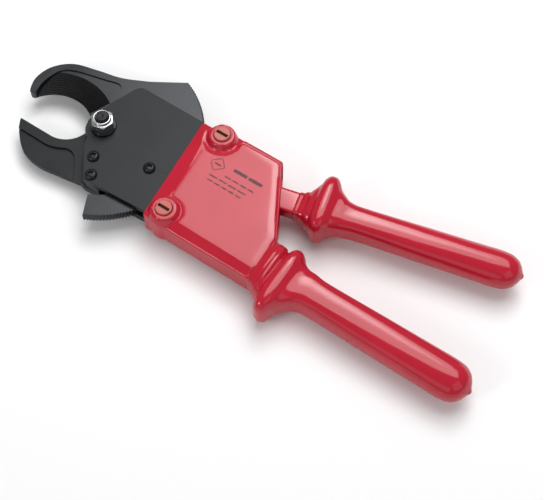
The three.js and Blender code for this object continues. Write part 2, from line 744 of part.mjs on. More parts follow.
function holdingNose() {
  const steepFace = TOOTH_PHASE + HOLDING_TOOTH * TOOTH_ANGLE;
  return polar(RIM_RADIUS + PAWL_LIFT, steepFace + GAP / RIM_RADIUS / DEGREE);
}

function pawl(nose, length, low, high) {
  const { eye, at } = pawlPlaces(nose, length);
  const back = Math.sin(PAWL_SLOPE * DEGREE) * length;
  const out = Math.cos(PAWL_SLOPE * DEGREE) * length;
  const strut = outline([
    nose,
    at(0, 2.4),
    at(-3, 4.6),
    at(-back + 2, out + 3.6),
    at(-back, out),
    at(-back, out - 3.4),
    at(-2.6, 2.1),
  ]);
  const body = join(slab(strut, low, high), pin(eye, PAWL_EYE_RADIUS, low, high));
  return cut(body, bore(eye, PAWL_PIN_RADIUS));
}

const DRIVE_PIN = pawlPlaces(driveNose(), DRIVE_PAWL_LENGTH).eye;
const HOLDING_PIN = pawlPlaces(holdingNose(), HOLDING_PAWL_LENGTH).eye;
const HOLDING_PAWL_Z = BLADE_Z + GAP;
const HOLDING_SPRING_Z = HOLDING_PAWL_Z + HOLDING_PAWL_THICKNESS + GAP;

function drivePawl() {
  const low = DRIVE_PAWL_Z + GAP / 2;
  return pawl(driveNose(), DRIVE_PAWL_LENGTH, low, LEVER_Z + LEVER_THICKNESS);
}

function holdingPawl() {
  const high = HOLDING_PAWL_Z + HOLDING_PAWL_THICKNESS;
  return pawl(holdingNose(), HOLDING_PAWL_LENGTH, HOLDING_PAWL_Z, high);
}

// Leaf spring that hugs the lever's boss behind the drive pawl.
function drivePawlSpring() {
  const inner = LEVER_BOSS_RADIUS + GAP;
  const outer = inner + SPRING_THICKNESS;
  const from = 195 * DEGREE;
  const to = 262 * DEGREE;
  const shape = new THREE.Shape();
  shape.absarc(...HANDLE_PIVOT, outer, from, to, false);
  shape.absarc(...HANDLE_PIVOT, inner, to, from, true);
  return slab(shape, DRIVE_PAWL_Z + GAP / 2, LEVER_Z + LEVER_THICKNESS - GAP, 12);
}

// Leg spring on the holding pawl's pin: a coil with one leg along the pawl and one to the rear.
function holdingPawlSpring() {
  const inner = PAWL_PIN_RADIUS + GAP;
  const low = HOLDING_SPRING_Z;
  const high = BLADE_Z + BLADE_THICKNESS;
  const [x, y] = HOLDING_PIN;
  const legs = [100, -20].map((angle) => {
    const leg = new THREE.BoxGeometry(7, SPRING_THICKNESS, SPRING_THICKNESS);
    leg.translate(inner + 3.5, 0, low + SPRING_THICKNESS / 2);
    return solid(leg.rotateZ(angle * DEGREE).translate(x, y, 0));
  });
  const coil = pin(HOLDING_PIN, inner + SPRING_THICKNESS, low, high);
  return cut(join(coil, ...legs), pin(HOLDING_PIN, inner, BELOW, ABOVE));
}

// ---------------------------------------------------------------- moving lever and grips

// Points given along and across the lever, from the handle pivot.
function alongLever(along, across) {
  const angle = HANDLE_ANGLE * DEGREE;
  return [
    HANDLE_PIVOT[0] + along * Math.cos(angle) - across * Math.sin(angle),
    HANDLE_PIVOT[1] + along * Math.sin(angle) + across * Math.cos(angle),
  ];
}

function leverBar(clearance, low, high) {
  const half = LEVER_WIDTH / 2 + clearance;
  const bar = outline([
    alongLever(0, -half),
    alongLever(LEVER_LENGTH + clearance, -half),
    alongLever(LEVER_LENGTH + clearance, half),
    alongLever(0, half),
  ]);
  return slab(bar, low, high);
}

// A steel bar with a boss on the handle pivot. Half of its thickness runs on as a lobe that
// carries the drive pawl.
function movingLever() {
  const low = LEVER_Z;
  const high = LEVER_Z + LEVER_THICKNESS;
  const halfHigh = DRIVE_PAWL_Z - GAP / 2;
  const toPin = Math.atan2(DRIVE_PIN[1] - HANDLE_PIVOT[1], DRIVE_PIN[0] - HANDLE_PIVOT[0]) / DEGREE;
  const lobe = outline([
    polar(LEVER_BOSS_RADIUS, toPin - 90, HANDLE_PIVOT),
    polar(LEVER_BOSS_RADIUS, toPin + 90, HANDLE_PIVOT),
    polar(PAWL_EYE_RADIUS, toPin + 90, DRIVE_PIN),
    polar(PAWL_EYE_RADIUS, toPin - 90, DRIVE_PIN),
  ]);
  const body = join(
    pin(HANDLE_PIVOT, LEVER_BOSS_RADIUS, low, high),
    leverBar(0, low, high),
    slab(lobe, low, halfHigh),
    pin(DRIVE_PIN, PAWL_EYE_RADIUS, low, halfHigh),
  );
  return cut(body, bore(HANDLE_PIVOT, HANDLE_PIN_RADIUS), bore(DRIVE_PIN, PAWL_PIN_RADIUS));
}

// An oval body along +X. Each station is [x, half width, half height, sideways shift].
function ovalGeometry(stations, sides = 24) {
  const first = stations[0];
  const last = stations[stations.length - 1];
  const rings = [[first[0], 0, 0, first[3]], ...stations, [last[0], 0, 0, last[3]]];
  const profile = rings.map((ring) => new THREE.Vector2(ring[1] > 0 ? 1 : 0, ring[0]));
  const geometry = new THREE.LatheGeometry(profile, sides);
  const place = geometry.attributes.position;
  for (let i = 0; i < place.count; i += 1) {
    const [x, halfWidth, halfHeight, shift] = rings[i % rings.length];
    place.setXYZ(i, x, shift - place.getX(i) * halfWidth, place.getZ(i) * halfHeight);
  }
  return geometry;
}

// Stations of a grip from behind its collar to its rounded end with a small nib.
function gripStations(start, end, frontHalf, endHalf, halfHeight) {
  const nib = 1.6;
  const round = end - nib;
  const swell = round - 20;
  return [
    [start, frontHalf, halfHeight * 0.94, 0],
    [start + 12, frontHalf - 0.6, halfHeight * 0.9, 0],
    [(start + swell) / 2, (frontHalf + endHalf) / 2 - 0.3, halfHeight * 0.95, 0],
    [swell, endHalf, halfHeight, 0],
    [round - 10, endHalf * 0.96, halfHeight * 0.96, 0],
    [round - 5, endHalf * 0.82, halfHeight * 0.82, 0],
    [round - 2, endHalf * 0.6, halfHeight * 0.6, 0],
    [round - 0.4, endHalf * 0.3, halfHeight * 0.3, 0],
    [end, 1.8, 1.8, 0],
  ];
}

// A rounded finger guard around a grip.
function collarStations(at, halfWidth, halfHeight, shift, neckWidth, neckHeight) {
  return [
    [at - 7.5, neckWidth, neckHeight, shift * 0.6],
    [at - 6, halfWidth * 0.8, halfHeight * 0.86, shift],
    [at - 3.6, halfWidth * 0.94, halfHeight * 0.96, shift],
    [at, halfWidth, halfHeight, shift],
    [at + 3.6, halfWidth * 0.94, halfHeight * 0.96, shift],
    [at + 6.4, halfWidth * 0.78, halfHeight * 0.86, shift * 0.8],
    [at + 10, halfWidth * 0.6, halfHeight * 0.77, shift * 0.4],
  ];
}

function movingGrip() {
  const collarEnd = MOVING_COLLAR_AT + 10;
  const stations = [
    ...collarStations(
      MOVING_COLLAR_AT,
      MOVING_COLLAR_HALF_WIDTH,
      COLLAR_HALF_HEIGHT,
      MOVING_COLLAR_OFFSET,
      12,
      9,
    ),
    ...gripStations(
      collarEnd + 5,
      MOVING_GRIP_END,
      MOVING_GRIP_HALF_WIDTH,
      MOVING_GRIP_END_HALF_WIDTH,
      GRIP_HALF_HEIGHT,
    ),
  ];
  const centreZ = LEVER_Z + LEVER_THICKNESS / 2;
  const oval = ovalGeometry(stations);
  oval.rotateZ(HANDLE_ANGLE * DEGREE).translate(HANDLE_PIVOT[0], HANDLE_PIVOT[1], centreZ);
  const shank = slab(
    outline([
      alongLever(SHANK_START, SHANK_LOWER),
      alongLever(SHANK_END, SHANK_LOWER),
      alongLever(MOVING_COLLAR_AT, SHANK_LOWER - 2.4),
      alongLever(MOVING_COLLAR_AT, SHANK_UPPER + 3),
      alongLever(SHANK_END, SHANK_UPPER),
      alongLever(SHANK_START, SHANK_UPPER),
    ]),
    centreZ - SHANK_THICKNESS / 2,
    centreZ + SHANK_THICKNESS / 2,
  );
  const pocket = leverBar(GAP, LEVER_Z - GAP, LEVER_Z + LEVER_THICKNESS + GAP);
  return cut(join(solid(oval), shank), pocket);
}

function fixedGrip() {
  const neckStart = BOOT_REAR_X + GAP;
  const stations = [
    [neckStart, 16.4, 11.4, 0.6],
    [neckStart + 3.4, 17, 12, 0],
    [neckStart + 3.6, 17.8, 12.4, -0.6],
    [neckStart + 7, 18.4, 12.8, -1.6],
    ...collarStations(
      FIXED_COLLAR_AT,
      FIXED_COLLAR_HALF_WIDTH,
      COLLAR_HALF_HEIGHT,
      FIXED_COLLAR_OFFSET,
      18.6,
      12.8,
    ),
    ...gripStations(
      FIXED_COLLAR_AT + 16,
      FIXED_GRIP_END,
      FIXED_GRIP_HALF_WIDTH,
      FIXED_GRIP_END_HALF_WIDTH,
      GRIP_HALF_HEIGHT + 0.6,
    ),
  ];
  const oval = ovalGeometry(stations).translate(0, FIXED_HANDLE_Y, MIDDLE_Z);
  const pocket = block(
    BOOT_REAR_X - 5,
    FIXED_HANDLE_Y - TANG_WIDTH / 2 - GAP,
    REAR_Z - GAP,
    TANG_END + GAP,
    FIXED_HANDLE_Y + TANG_WIDTH / 2 + GAP,
    FRONT_TOP + GAP,
  );
  return cut(solid(oval), pocket);
}

// ---------------------------------------------------------------- the tool

const tool = new THREE.Group();

function addPiece(name, body, colour, roughness, metalness) {
  const material = new THREE.MeshStandardMaterial({ color: colour, roughness, metalness });
  const mesh = new THREE.Mesh(geometryOf(body), material);
  mesh.name = name;
  tool.add(mesh);
}

const BLACK_STEEL = [0x46494c, 0.42, 0.8];
const BLADE_STEEL = [0x555a5f, 0.38, 0.85];
const DARK_STEEL = [0x2c2e30, 0.4, 0.85];
const BRIGHT_STEEL = [0xb9bdc0, 0.28, 0.95];
const RED_PLASTIC = [0xc01f38, 0.2, 0];
const BRONZE = [0x8a6a3c, 0.45, 0.8];
const NYLON = [0x3f6fae, 0.6, 0];

addPiece("rear_frame_plate", rearPlate(), ...BLACK_STEEL);
addPiece("front_plate", frontPlate(), ...BLACK_STEEL);
addPiece("moving_blade", movingBlade(), ...BLADE_STEEL);
addPiece("jaw_spacer", jawSpacer(), ...DARK_STEEL);
addPiece("tang_spacer", tangSpacer(), ...DARK_STEEL);

const bushInner = PIVOT_RADIUS + GAP;
const bush = sleeve([0, 0], bushInner, bushInner + BUSH_WALL, BLADE_Z, BLADE_Z + BLADE_THICKNESS);
addPiece("blade_bush", bush, ...BRONZE);
addPiece("pivot_bolt", pivotBolt(), ...DARK_STEEL);
const washer = sleeve([0, 0], bushInner, WASHER_RADIUS, WASHER_Z, WASHER_Z + WASHER_THICKNESS);
addPiece("pivot_washer", washer, ...BRIGHT_STEEL);
addPiece("pivot_nut", pivotNut(), ...BRIGHT_STEEL);
addPiece("nut_insert", nutInsert(), ...NYLON);

addPiece("jaw_screw_upper", buttonScrew(JAW_SCREWS.upper), ...DARK_STEEL);
addPiece("jaw_screw_lower", buttonScrew(JAW_SCREWS.lower), ...DARK_STEEL);
addPiece("stop_screw", buttonScrew(STOP_SCREW), ...DARK_STEEL);
const stopInner = BUTTON_RADIUS + GAP;
const stopSleeve = sleeve(STOP_SCREW, stopInner, STOP_SLEEVE_RADIUS, BLADE_Z, BLADE_Z + BLADE_THICKNESS);
addPiece("stop_sleeve", stopSleeve, ...BRIGHT_STEEL);

addPiece("insulating_boot", insulatingBoot(), ...RED_PLASTIC);
for (const [side, place] of Object.entries(COVER_SCREWS)) {
  addPiece(`cover_screw_${side}`, coverScrew(place), ...RED_PLASTIC);
  addPiece(`cover_nut_${side}`, coverNut(place), ...RED_PLASTIC);
}

const pinLow = REAR_Z;
const pinHigh = FRONT_TOP;
addPiece("handle_pivot_pin", pin(HANDLE_PIVOT, HANDLE_PIN_RADIUS, pinLow, pinHigh), ...BRIGHT_STEEL);
addPiece("moving_lever", movingLever(), ...DARK_STEEL);
addPiece("moving_grip", movingGrip(), ...RED_PLASTIC);
addPiece("fixed_grip", fixedGrip(), ...RED_PLASTIC);

addPiece("drive_pawl", drivePawl(), ...BRIGHT_STEEL);
const drivePinHigh = LEVER_Z + LEVER_THICKNESS;
addPiece("drive_pawl_pin", pin(DRIVE_PIN, PAWL_PIN_RADIUS, LEVER_Z, drivePinHigh), ...BRIGHT_STEEL);
addPiece("drive_pawl_spring", drivePawlSpring(), ...BRIGHT_STEEL);
addPiece("holding_pawl", holdingPawl(), ...BRIGHT_STEEL);
addPiece("holding_pawl_pin", pin(HOLDING_PIN, PAWL_PIN_RADIUS, pinLow, pinHigh), ...BRIGHT_STEEL);
addPiece("holding_pawl_spring", holdingPawlSpring(), ...BRIGHT_STEEL);

TANG_RIVETS.forEach((x, i) => {
  const rivet = pin([x, FIXED_HANDLE_Y], RIVET_RADIUS, pinLow, pinHigh);
  addPiece(i === 0 ? "tang_rivet_front" : "tang_rivet_rear", rivet, ...BRIGHT_STEEL);
});

export default tool;
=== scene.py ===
# %% [markdown]
# # Insulated ratchet cable cutter
#
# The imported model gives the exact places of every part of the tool. This lesson builds the
# finished surfaces around it: black steel jaws, a bright pivot nut, and red dipped insulation.
# Shapes are drawn in millimetres and made metres when a piece is finished.

# %% The frame
import math

import bmesh
import bpy
from mathutils import Matrix, Vector


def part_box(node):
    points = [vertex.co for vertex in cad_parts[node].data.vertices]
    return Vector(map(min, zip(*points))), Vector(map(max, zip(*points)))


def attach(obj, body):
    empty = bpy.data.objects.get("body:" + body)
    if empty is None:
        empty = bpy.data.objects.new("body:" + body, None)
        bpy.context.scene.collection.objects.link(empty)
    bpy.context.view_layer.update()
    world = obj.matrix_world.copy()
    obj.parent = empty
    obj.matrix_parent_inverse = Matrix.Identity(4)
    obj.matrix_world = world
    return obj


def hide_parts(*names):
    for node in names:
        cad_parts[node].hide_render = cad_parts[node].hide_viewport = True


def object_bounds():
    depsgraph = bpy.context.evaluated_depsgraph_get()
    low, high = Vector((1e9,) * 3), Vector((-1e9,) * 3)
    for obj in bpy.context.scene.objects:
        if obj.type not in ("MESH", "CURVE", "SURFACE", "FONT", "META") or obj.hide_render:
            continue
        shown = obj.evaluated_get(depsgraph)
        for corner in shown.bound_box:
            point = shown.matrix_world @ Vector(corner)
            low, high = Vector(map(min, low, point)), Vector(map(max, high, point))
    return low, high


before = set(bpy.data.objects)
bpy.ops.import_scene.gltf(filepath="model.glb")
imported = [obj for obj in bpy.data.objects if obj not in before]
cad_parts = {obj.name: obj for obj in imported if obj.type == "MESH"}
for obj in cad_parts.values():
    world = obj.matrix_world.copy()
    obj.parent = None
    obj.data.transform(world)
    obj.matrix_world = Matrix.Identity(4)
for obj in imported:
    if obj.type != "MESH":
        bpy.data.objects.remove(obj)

frame_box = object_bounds()
MM = 0.001


def centre_of(node):
    """The middle of a part's box, in millimetres."""
    low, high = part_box(node)
    return (low + high) / 2 / MM


def level_of(node):
    """The lowest and highest level of a part, in millimetres."""
    low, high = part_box(node)
    return low.z / MM, high.z / MM


# %% [markdown]
# ## Camera, floor and lights
#
# The tool is looked down on from its right, from about 0.8 m away with a long lens, so that it
# is hardly foreshortened. Three level panels hang above and behind it, the smaller ones for the
# brighter middle of the highlight. A strip and two fills light the walls from the front and the
# right. The flat faces mirror the panels, and the sloping borders mirror the darker room.

# %% The camera
CAMERA_TURN, CAMERA_RISE = math.radians(34), math.radians(62)
CAMERA_PLACE = Vector((0.3191, -0.2869, 0.6397))
backwards = Vector(
    (
        math.sin(CAMERA_TURN) * math.cos(CAMERA_RISE),
        -math.cos(CAMERA_TURN) * math.cos(CAMERA_RISE),
        math.sin(CAMERA_RISE),
    )
)
lens = bpy.data.cameras.new("camera")
lens.lens = 79.4
camera = bpy.data.objects.new("camera", lens)
camera.location = CAMERA_PLACE
camera.rotation_mode = "QUATERNION"
camera.rotation_quaternion = (-backwards).to_track_quat("-Z", "Y")
bpy.context.scene.collection.objects.link(camera)
bpy.context.scene.camera = camera
print("camera at", tuple(round(v, 3) for v in camera.location))

# %% The floor and the lights
FLOOR_SIZE = 6
bpy.context.scene.view_settings.view_transform = "Standard"


def plain_finish(name, colour, roughness, metallic=0.0):
    """A material with a Principled shader, which the cells below add detail to."""
    material = bpy.data.materials.new(name)
    material.use_nodes = True
    shader = material.node_tree.nodes["Principled BSDF"]
    shader.inputs["Base Color"].default_value = (*colour, 1)
    shader.inputs["Roughness"].default_value = roughness
    shader.inputs["Metallic"].default_value = metallic
    return material


def lay_floor():
    bm = bmesh.new()
    bmesh.ops.create_grid(bm, x_segments=1, y_segments=1, size=FLOOR_SIZE / 2)
    bmesh.ops.translate(bm, verts=bm.verts, vec=(0.1, 0, frame_box[0].z))
    mesh = bpy.data.meshes.new("floor")
    bm.to_mesh(mesh)
    bm.free()
    floor = bpy.data.objects.new("floor", mesh)
    mesh.materials.append(plain_finish("floor_paper", (0.93, 0.93, 0.93), 0.9))
    bpy.context.scene.collection.objects.link(floor)


def area_light(name, width, height, power):
    """A rectangular light, which still has to be placed and turned."""
    light = bpy.data.lights.new(name, "AREA")
    light.shape = "RECTANGLE"
    light.size, light.size_y = width, height
    light.energy = power
    lamp = bpy.data.objects.new(name, light)
    bpy.context.scene.collection.objects.link(lamp)
    return lamp


def hang_light(name, target, direction, distance, width, height, power):
    """An area light that faces its target, at a distance along a direction."""
    lamp = area_light(name, width, height, power)
    away = Vector(direction).normalized()
    lamp.location = Vector(target) + away * distance
    lamp.rotation_mode = "QUATERNION"
    lamp.rotation_quaternion = (-away).to_track_quat("-Z", "Y")


def hang_panel(name, along_right, along_back, height, width, depth, power):
    """A level light panel above the tool, turned to be square with the camera."""
    lamp = area_light(name, width, depth, power)
    right = Vector((math.cos(CAMERA_TURN), math.sin(CAMERA_TURN), 0))
    back = Vector((-math.sin(CAMERA_TURN), math.cos(CAMERA_TURN), 0))
    lamp.location = right * along_right + back * along_back + Vector((0, 0, height))
    lamp.rotation_euler = (0, 0, CAMERA_TURN)


lay_floor()
hang_panel("wide_panel", 0.33, 0.42, 1.0, 0.98, 1.04, 10.8)
hang_panel("core", 0.29, 0.60, 0.98, 0.29, 0.54, 1.45)
hang_panel("hot_core", 0.23, 0.58, 0.96, 0.16, 0.36, 0.65)
hang_light("ridge_strip", (0.1, -0.04, 0), (-0.31, -0.74, 0.6), 1.1, 0.25, 0.3, 2.2)
hang_light("front_fill", (0.1, 0, 0), (0.15, -0.9, 0.4), 1.1, 0.9, 0.5, 0.8)
hang_light("right_fill", (0.15, 0, 0), (1, -0.35, 0.8), 1.3, 0.9, 0.9, 1.5)

room = bpy.data.worlds.new("room")
room.use_nodes = True
room.node_tree.nodes["Background"].inputs["Color"].default_value = (0.97, 0.98, 1, 1)
room.node_tree.nodes["Background"].inputs["Strength"].default_value = 0.3
bpy.context.scene.world = room

# %% [markdown]
# ## Finishes
#
# Each finish is a Principled shader with noise on Object coordinates, so that a pattern keeps
# its real size on every part. Black oxide is a thin dark film on steel: it is nearly a metal,
# uneven in tone, and rubbed brighter in places. The dipped insulation is a glossy plastic whose
# skin isn't quite flat, which makes its reflections wander.


# %% Helpers for finishes
def node(material, kind, **values):
    """Adds a shader node and sets its plain properties and its inputs."""
    made = material.node_tree.nodes.new(kind)
    for name, value in values.items():
        if name in made.inputs:
            made.inputs[name].default_value = value
        else:
            setattr(made, name, value)
    return made


def link(material, start, output, end, socket):
    material.node_tree.links.new(start.outputs[output], end.inputs[socket])


def object_place(material, **values):
    """Object coordinates, moved or stretched by a mapping."""
    place = node(material, "ShaderNodeTexCoord")
    turn = node(material, "ShaderNodeMapping", **values)
    link(material, place, "Object", turn, "Vector")
    return turn


def object_noise(material, scale, detail=3.0, stretch=(1, 1, 1)):
    """Noise on Object coordinates. The scale is in waves to the metre."""
    turn = object_place(material, Scale=stretch)
    noise = node(material, "ShaderNodeTexNoise", Scale=scale, Detail=detail)
    link(material, turn, "Vector", noise, "Vector")
    return noise


def spread(material, source, output, low, high):
    """Maps the middle of a noise to a range of values."""
    step = node(material, "ShaderNodeMapRange")
    step.inputs["From Min"].default_value = 0.3
    step.inputs["From Max"].default_value = 0.7
    step.inputs["To Min"].default_value = low
    step.inputs["To Max"].default_value = high
    link(material, source, output, step, "Value")
    return step


def mottle(material, noise, dark, light):
    """Colours the surface between two tones along a noise."""
    ramp = node(material, "ShaderNodeValToRGB")
    ramp.color_ramp.elements[0].position = 0.3
    ramp.color_ramp.elements[1].position = 0.7
    ramp.color_ramp.elements[0].color = (*dark, 1)
    ramp.color_ramp.elements[1].color = (*light, 1)
    link(material, noise, "Fac", ramp, "Fac")
    link(material, ramp, "Color", material.node_tree.nodes["Principled BSDF"], "Base Color")
    return ramp


def rough_between(material, noise, low, high):
    step = spread(material, noise, "Fac", low, high)
    link(material, step, "Result", material.node_tree.nodes["Principled BSDF"], "Roughness")


def raise_skin(material, source, output, distance, strength=1.0, below=None):
    """Adds a bump of a real depth in metres, on top of another bump if one is given."""
    bump = node(material, "ShaderNodeBump", Distance=distance, Strength=strength)
    link(material, source, output, bump, "Height")
    if below:
        link(material, below, "Normal", bump, "Normal")
    link(material, bump, "Normal", material.node_tree.nodes["Principled BSDF"], "Normal")
    return bump


# %% Steel finishes
def black_oxide(name, dark, light, roughness):
    """Blackened steel: cloudy in tone, with a fine tooth that blurs what it mirrors."""
    material = plain_finish(name, light, roughness, 0.85)
    clouds = object_noise(material, 45, 5)
    mottle(material, clouds, dark, light)
    grain = object_noise(material, 1400, 2)
    rough_between(material, clouds, roughness - 0.05, roughness + 0.06)
    raise_skin(material, grain, "Fac", 0.00003, 0.35)
    return material


plate_black = black_oxide("plate_black", (0.024, 0.026, 0.027), (0.034, 0.036, 0.037), 0.46)
blade_blue = black_oxide("blade_blue", (0.038, 0.040, 0.042), (0.052, 0.055, 0.058), 0.3)
screw_black = black_oxide("screw_black", (0.022, 0.023, 0.025), (0.035, 0.036, 0.038), 0.3)


def ground_steel(name, centre, lines_apart):
    """A ground bevel: fine arcs left by the stone, centred on the mouth of the jaw."""
    material = plain_finish(name, (0.03, 0.03, 0.032), 0.36, 0.85)
    turn = object_place(material, Location=(-centre[0] * MM, -centre[1] * MM, 0))
    arcs = node(material, "ShaderNodeTexWave", wave_type="RINGS", rings_direction="Z")
    arcs.inputs["Scale"].default_value = 0.31 / (lines_apart * MM)
    arcs.inputs["Distortion"].default_value = 1.2
    arcs.inputs["Detail"].default_value = 2
    link(material, turn, "Vector", arcs, "Vector")
    streaks = object_noise(material, 160, 4)
    mottle(material, arcs, (0.003, 0.003, 0.004), (0.022, 0.021, 0.022))
    rough_between(material, streaks, 0.3, 0.45)
    raise_skin(material, arcs, "Fac", 0.00010, 0.8)
    return material


def plated_steel(name, tone, roughness):
    """Zinc plate on a turned or pressed part: bright, with small dull patches."""
    material = plain_finish(name, (tone, tone, tone * 1.01), roughness, 1.0)
    patches = object_noise(material, 300, 4)
    rough_between(material, patches, roughness - 0.05, roughness + 0.1)
    mottle(material, patches, (tone * 0.75,) * 3, (tone, tone, tone * 1.01))
    scratches = object_noise(material, 900, 2, (1, 6, 1))
    raise_skin(material, scratches, "Fac", 0.00002, 0.3)
    return material


bright_zinc = plated_steel("bright_zinc", 0.75, 0.2)
spring_steel = plated_steel("spring_steel", 0.5, 0.3)
bronze = plated_steel("bush_bronze", 0.4, 0.35)
bronze.node_tree.nodes["Principled BSDF"].inputs["Specular Tint"].default_value = (1, 0.8, 0.5, 1)


# %% Plastic finishes
def dipped_red(name, dark, light, roughness, wander):
    """Dipped insulation: a thick glossy skin with slow waves and a very faint grain."""
    material = plain_finish(name, light, roughness)
    shader = material.node_tree.nodes["Principled BSDF"]
    shader.inputs["IOR"].default_value = 1.5
    clouds = object_noise(material, 30, 3)
    mottle(material, clouds, dark, light)
    rough_between(material, clouds, roughness - 0.02, roughness + 0.03)
    waves = object_noise(material, 28, 1)
    slow = raise_skin(material, waves, "Fac", wander, 1.0)
    grain = object_noise(material, 900, 2)
    raise_skin(material, grain, "Fac", 0.00001, 0.25, slow)
    return material


red_skin = dipped_red("red_skin", (0.45, 0.007, 0.024), (0.50, 0.009, 0.029), 0.13, 0.0006)
screw_red = dipped_red("screw_red", (0.44, 0.07, 0.05), (0.52, 0.09, 0.07), 0.3, 0.0)


def plain_plastic(name, colour, roughness):
    material = plain_finish(name, colour, roughness)
    clouds = object_noise(material, 400, 3)
    mottle(material, clouds, tuple(c * 0.85 for c in colour), colour)
    rough_between(material, clouds, roughness - 0.05, roughness + 0.1)
    return material


nylon_dark = plain_plastic("nylon_dark", (0.02, 0.025, 0.035), 0.4)
# Painted shade: the inside of a screw slot is red plastic like the head, and this near-black finish stands
# for the shade in the deep, narrow slot.
slot_painted_shade = plain_plastic("slot_painted_shade", (0.012, 0.010, 0.010), 0.6)
print_dark = plain_plastic("print_dark", (0.09, 0.016, 0.02), 0.5)
print("finishes:", len(bpy.data.materials))

# %% [markdown]
# ## Tools for making pieces
#
# Most parts of this tool are cut from plate, turned on a lathe or dipped. So three ways of
# making serve for nearly all of them: raise an outline, spin a profile, and draw a rim out
# through a row of rings. Holes and bevels are then cut out with boolean modifiers, as a mill
# would cut them.


# %% Drawing in plan
def arc(centre, radius, start, end, step=2.5):
    """Points on an arc, from one angle to another in degrees."""
    count = max(2, round(abs(end - start) / step))
    points = []
    for i in range(count + 1):
        angle = math.radians(start + (end - start) * i / count)
        points.append((centre[0] + radius * math.cos(angle), centre[1] + radius * math.sin(angle)))
    return points


def polar(radius, degrees, centre=(0, 0)):
    angle = math.radians(degrees)
    return (centre[0] + radius * math.cos(angle), centre[1] + radius * math.sin(angle))


def bend(start, control, end, steps=10):
    """A quadratic curve, without its first point."""
    made = []
    for i in range(1, steps + 1):
        t = i / steps
        near, middle, far = (1 - t) ** 2, 2 * t * (1 - t), t**2
        made.append(tuple(near * a + middle * b + far * c for a, b, c in zip(start, control, end)))
    return made


def oblong(low, high):
    """The corners of a rectangle, from two opposite ones."""
    return [(low[0], low[1]), (high[0], low[1]), (high[0], high[1]), (low[0], high[1])]


def through(points, steps=10):
    """A smooth curve through its points, without the first one."""
    made = []
    last = len(points) - 1
    for i in range(last):
        p0, p1 = points[max(i - 1, 0)], points[i]
        p2, p3 = points[i + 1], points[min(i + 2, last)]
        for k in range(1, steps + 1):
            t = k / steps
            at = []
            for a, b, c, d in zip(p0, p1, p2, p3):
                pull, push = (c - a) / 2, (d - b) / 2
                cubic = (2 * b - 2 * c + pull + push) * t**3
                square = (-3 * b + 3 * c - 2 * pull - push) * t**2
                at.append(cubic + square + pull * t + b)
            made.append(tuple(at))
    return made


# %% Making solids
def object_of(bm, name):
    """A mesh object, still in millimetres, from a bmesh."""
    mesh = bpy.data.meshes.new(name)
    bm.to_mesh(mesh)
    bm.free()
    made = bpy.data.objects.new(name, mesh)
    bpy.context.scene.collection.objects.link(made)
    return made


def swept(corners, shift, name):
    """A flat face moved along a straight line."""
    bm = bmesh.new()
    face = bm.faces.new([bm.verts.new(corner) for corner in corners])
    grown = bmesh.ops.extrude_face_region(bm, geom=[face])["geom"]
    far = [v for v in grown if isinstance(v, bmesh.types.BMVert)]
    bmesh.ops.translate(bm, verts=far, vec=shift)
    bmesh.ops.recalc_face_normals(bm, faces=bm.faces)
    return object_of(bm, name)


def raised(points, low, high, name="raised"):
    """A plan outline raised from one level to another."""
    return swept([(x, y, low) for x, y in points], (0, 0, high - low), name)


def turned(centre, profile, name="turned", steps=64):
    """A body spun about an upright axis, from (radius, height) points that start and end on it."""
    bm = bmesh.new()
    points = [bm.verts.new((radius, 0, height)) for radius, height in profile]
    edges = [bm.edges.new(pair) for pair in zip(points, points[1:])]
    bmesh.ops.spin(
        bm,
        geom=points + edges,
        axis=(0, 0, 1),
        cent=(0, 0, 0),
        angle=math.tau,
        steps=steps,
        use_merge=True,
    )
    bmesh.ops.remove_doubles(bm, verts=bm.verts, dist=1e-5)
    bmesh.ops.recalc_face_normals(bm, faces=bm.faces)
    bmesh.ops.translate(bm, verts=bm.verts, vec=(centre[0], centre[1], 0))
    return object_of(bm, name)


def rod(centre, radius, low, high, steps=48):
    return turned(centre, [(0, low), (radius, low), (radius, high), (0, high)], "rod", steps)


def prism(centre, across_flats, low, high, turn=0):
    corners = [polar(across_flats / math.sqrt(3), 60 * i + turn, centre) for i in range(6)]
    return raised(corners, low, high, "prism")


def carve(piece, *tools, action="DIFFERENCE"):
    """Cuts tools out of a piece, or joins them to it, and uses the tools up."""
    for tool in tools:
        step = piece.modifiers.new("carve", "BOOLEAN")
        step.operation = action
        step.solver = "EXACT"
        step.object = tool
    apply_steps(piece)
    for tool in tools:
        bpy.data.objects.remove(tool)
    return piece


def apply_steps(piece):
    """Makes the result of a piece's modifiers its own mesh."""
    bpy.context.view_layer.update()
    seen = piece.evaluated_get(bpy.context.evaluated_depsgraph_get())
    mesh = bpy.data.meshes.new_from_object(seen)
    piece.modifiers.clear()
    piece.data = mesh


# %% Finishing a piece
SMOOTH_BELOW = math.radians(32)
FLAT_BELOW = math.radians(14)


def close_up(piece, distance):
    """Merges points that a cut has left nearly on top of each other."""
    bm = bmesh.new()
    bm.from_mesh(piece.data)
    bmesh.ops.remove_doubles(bm, verts=bm.verts, dist=distance)
    bm.to_mesh(piece.data)
    bm.free()


def finish_piece(piece, name, finish, body, stands_for=(), edge=0.0, smooth=SMOOTH_BELOW):
    """Rounds the sharp edges, brings the piece to metres, and gives it finish and body."""
    piece.name = piece.data.name = name
    if edge:
        close_up(piece, edge / 4)
        step = piece.modifiers.new("edge", "BEVEL")
        step.width = edge
        step.segments = 2
        step.limit_method = "ANGLE"
        step.angle_limit = math.radians(35)
        step.use_clamp_overlap = False
        apply_steps(piece)
    piece.data.transform(Matrix.Scale(MM, 4))
    if not piece.data.materials:
        piece.data.materials.append(finish)
    piece.data.shade_smooth()
    piece.data.set_sharp_from_angle(angle=smooth)
    if edge:
        even = piece.modifiers.new("even", "WEIGHTED_NORMAL")
        even.keep_sharp = True
        apply_steps(piece)
    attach(piece, body)
    if stands_for:
        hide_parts(*stands_for)
    print(f"{name}: {len(piece.data.polygons)} faces")
    return piece


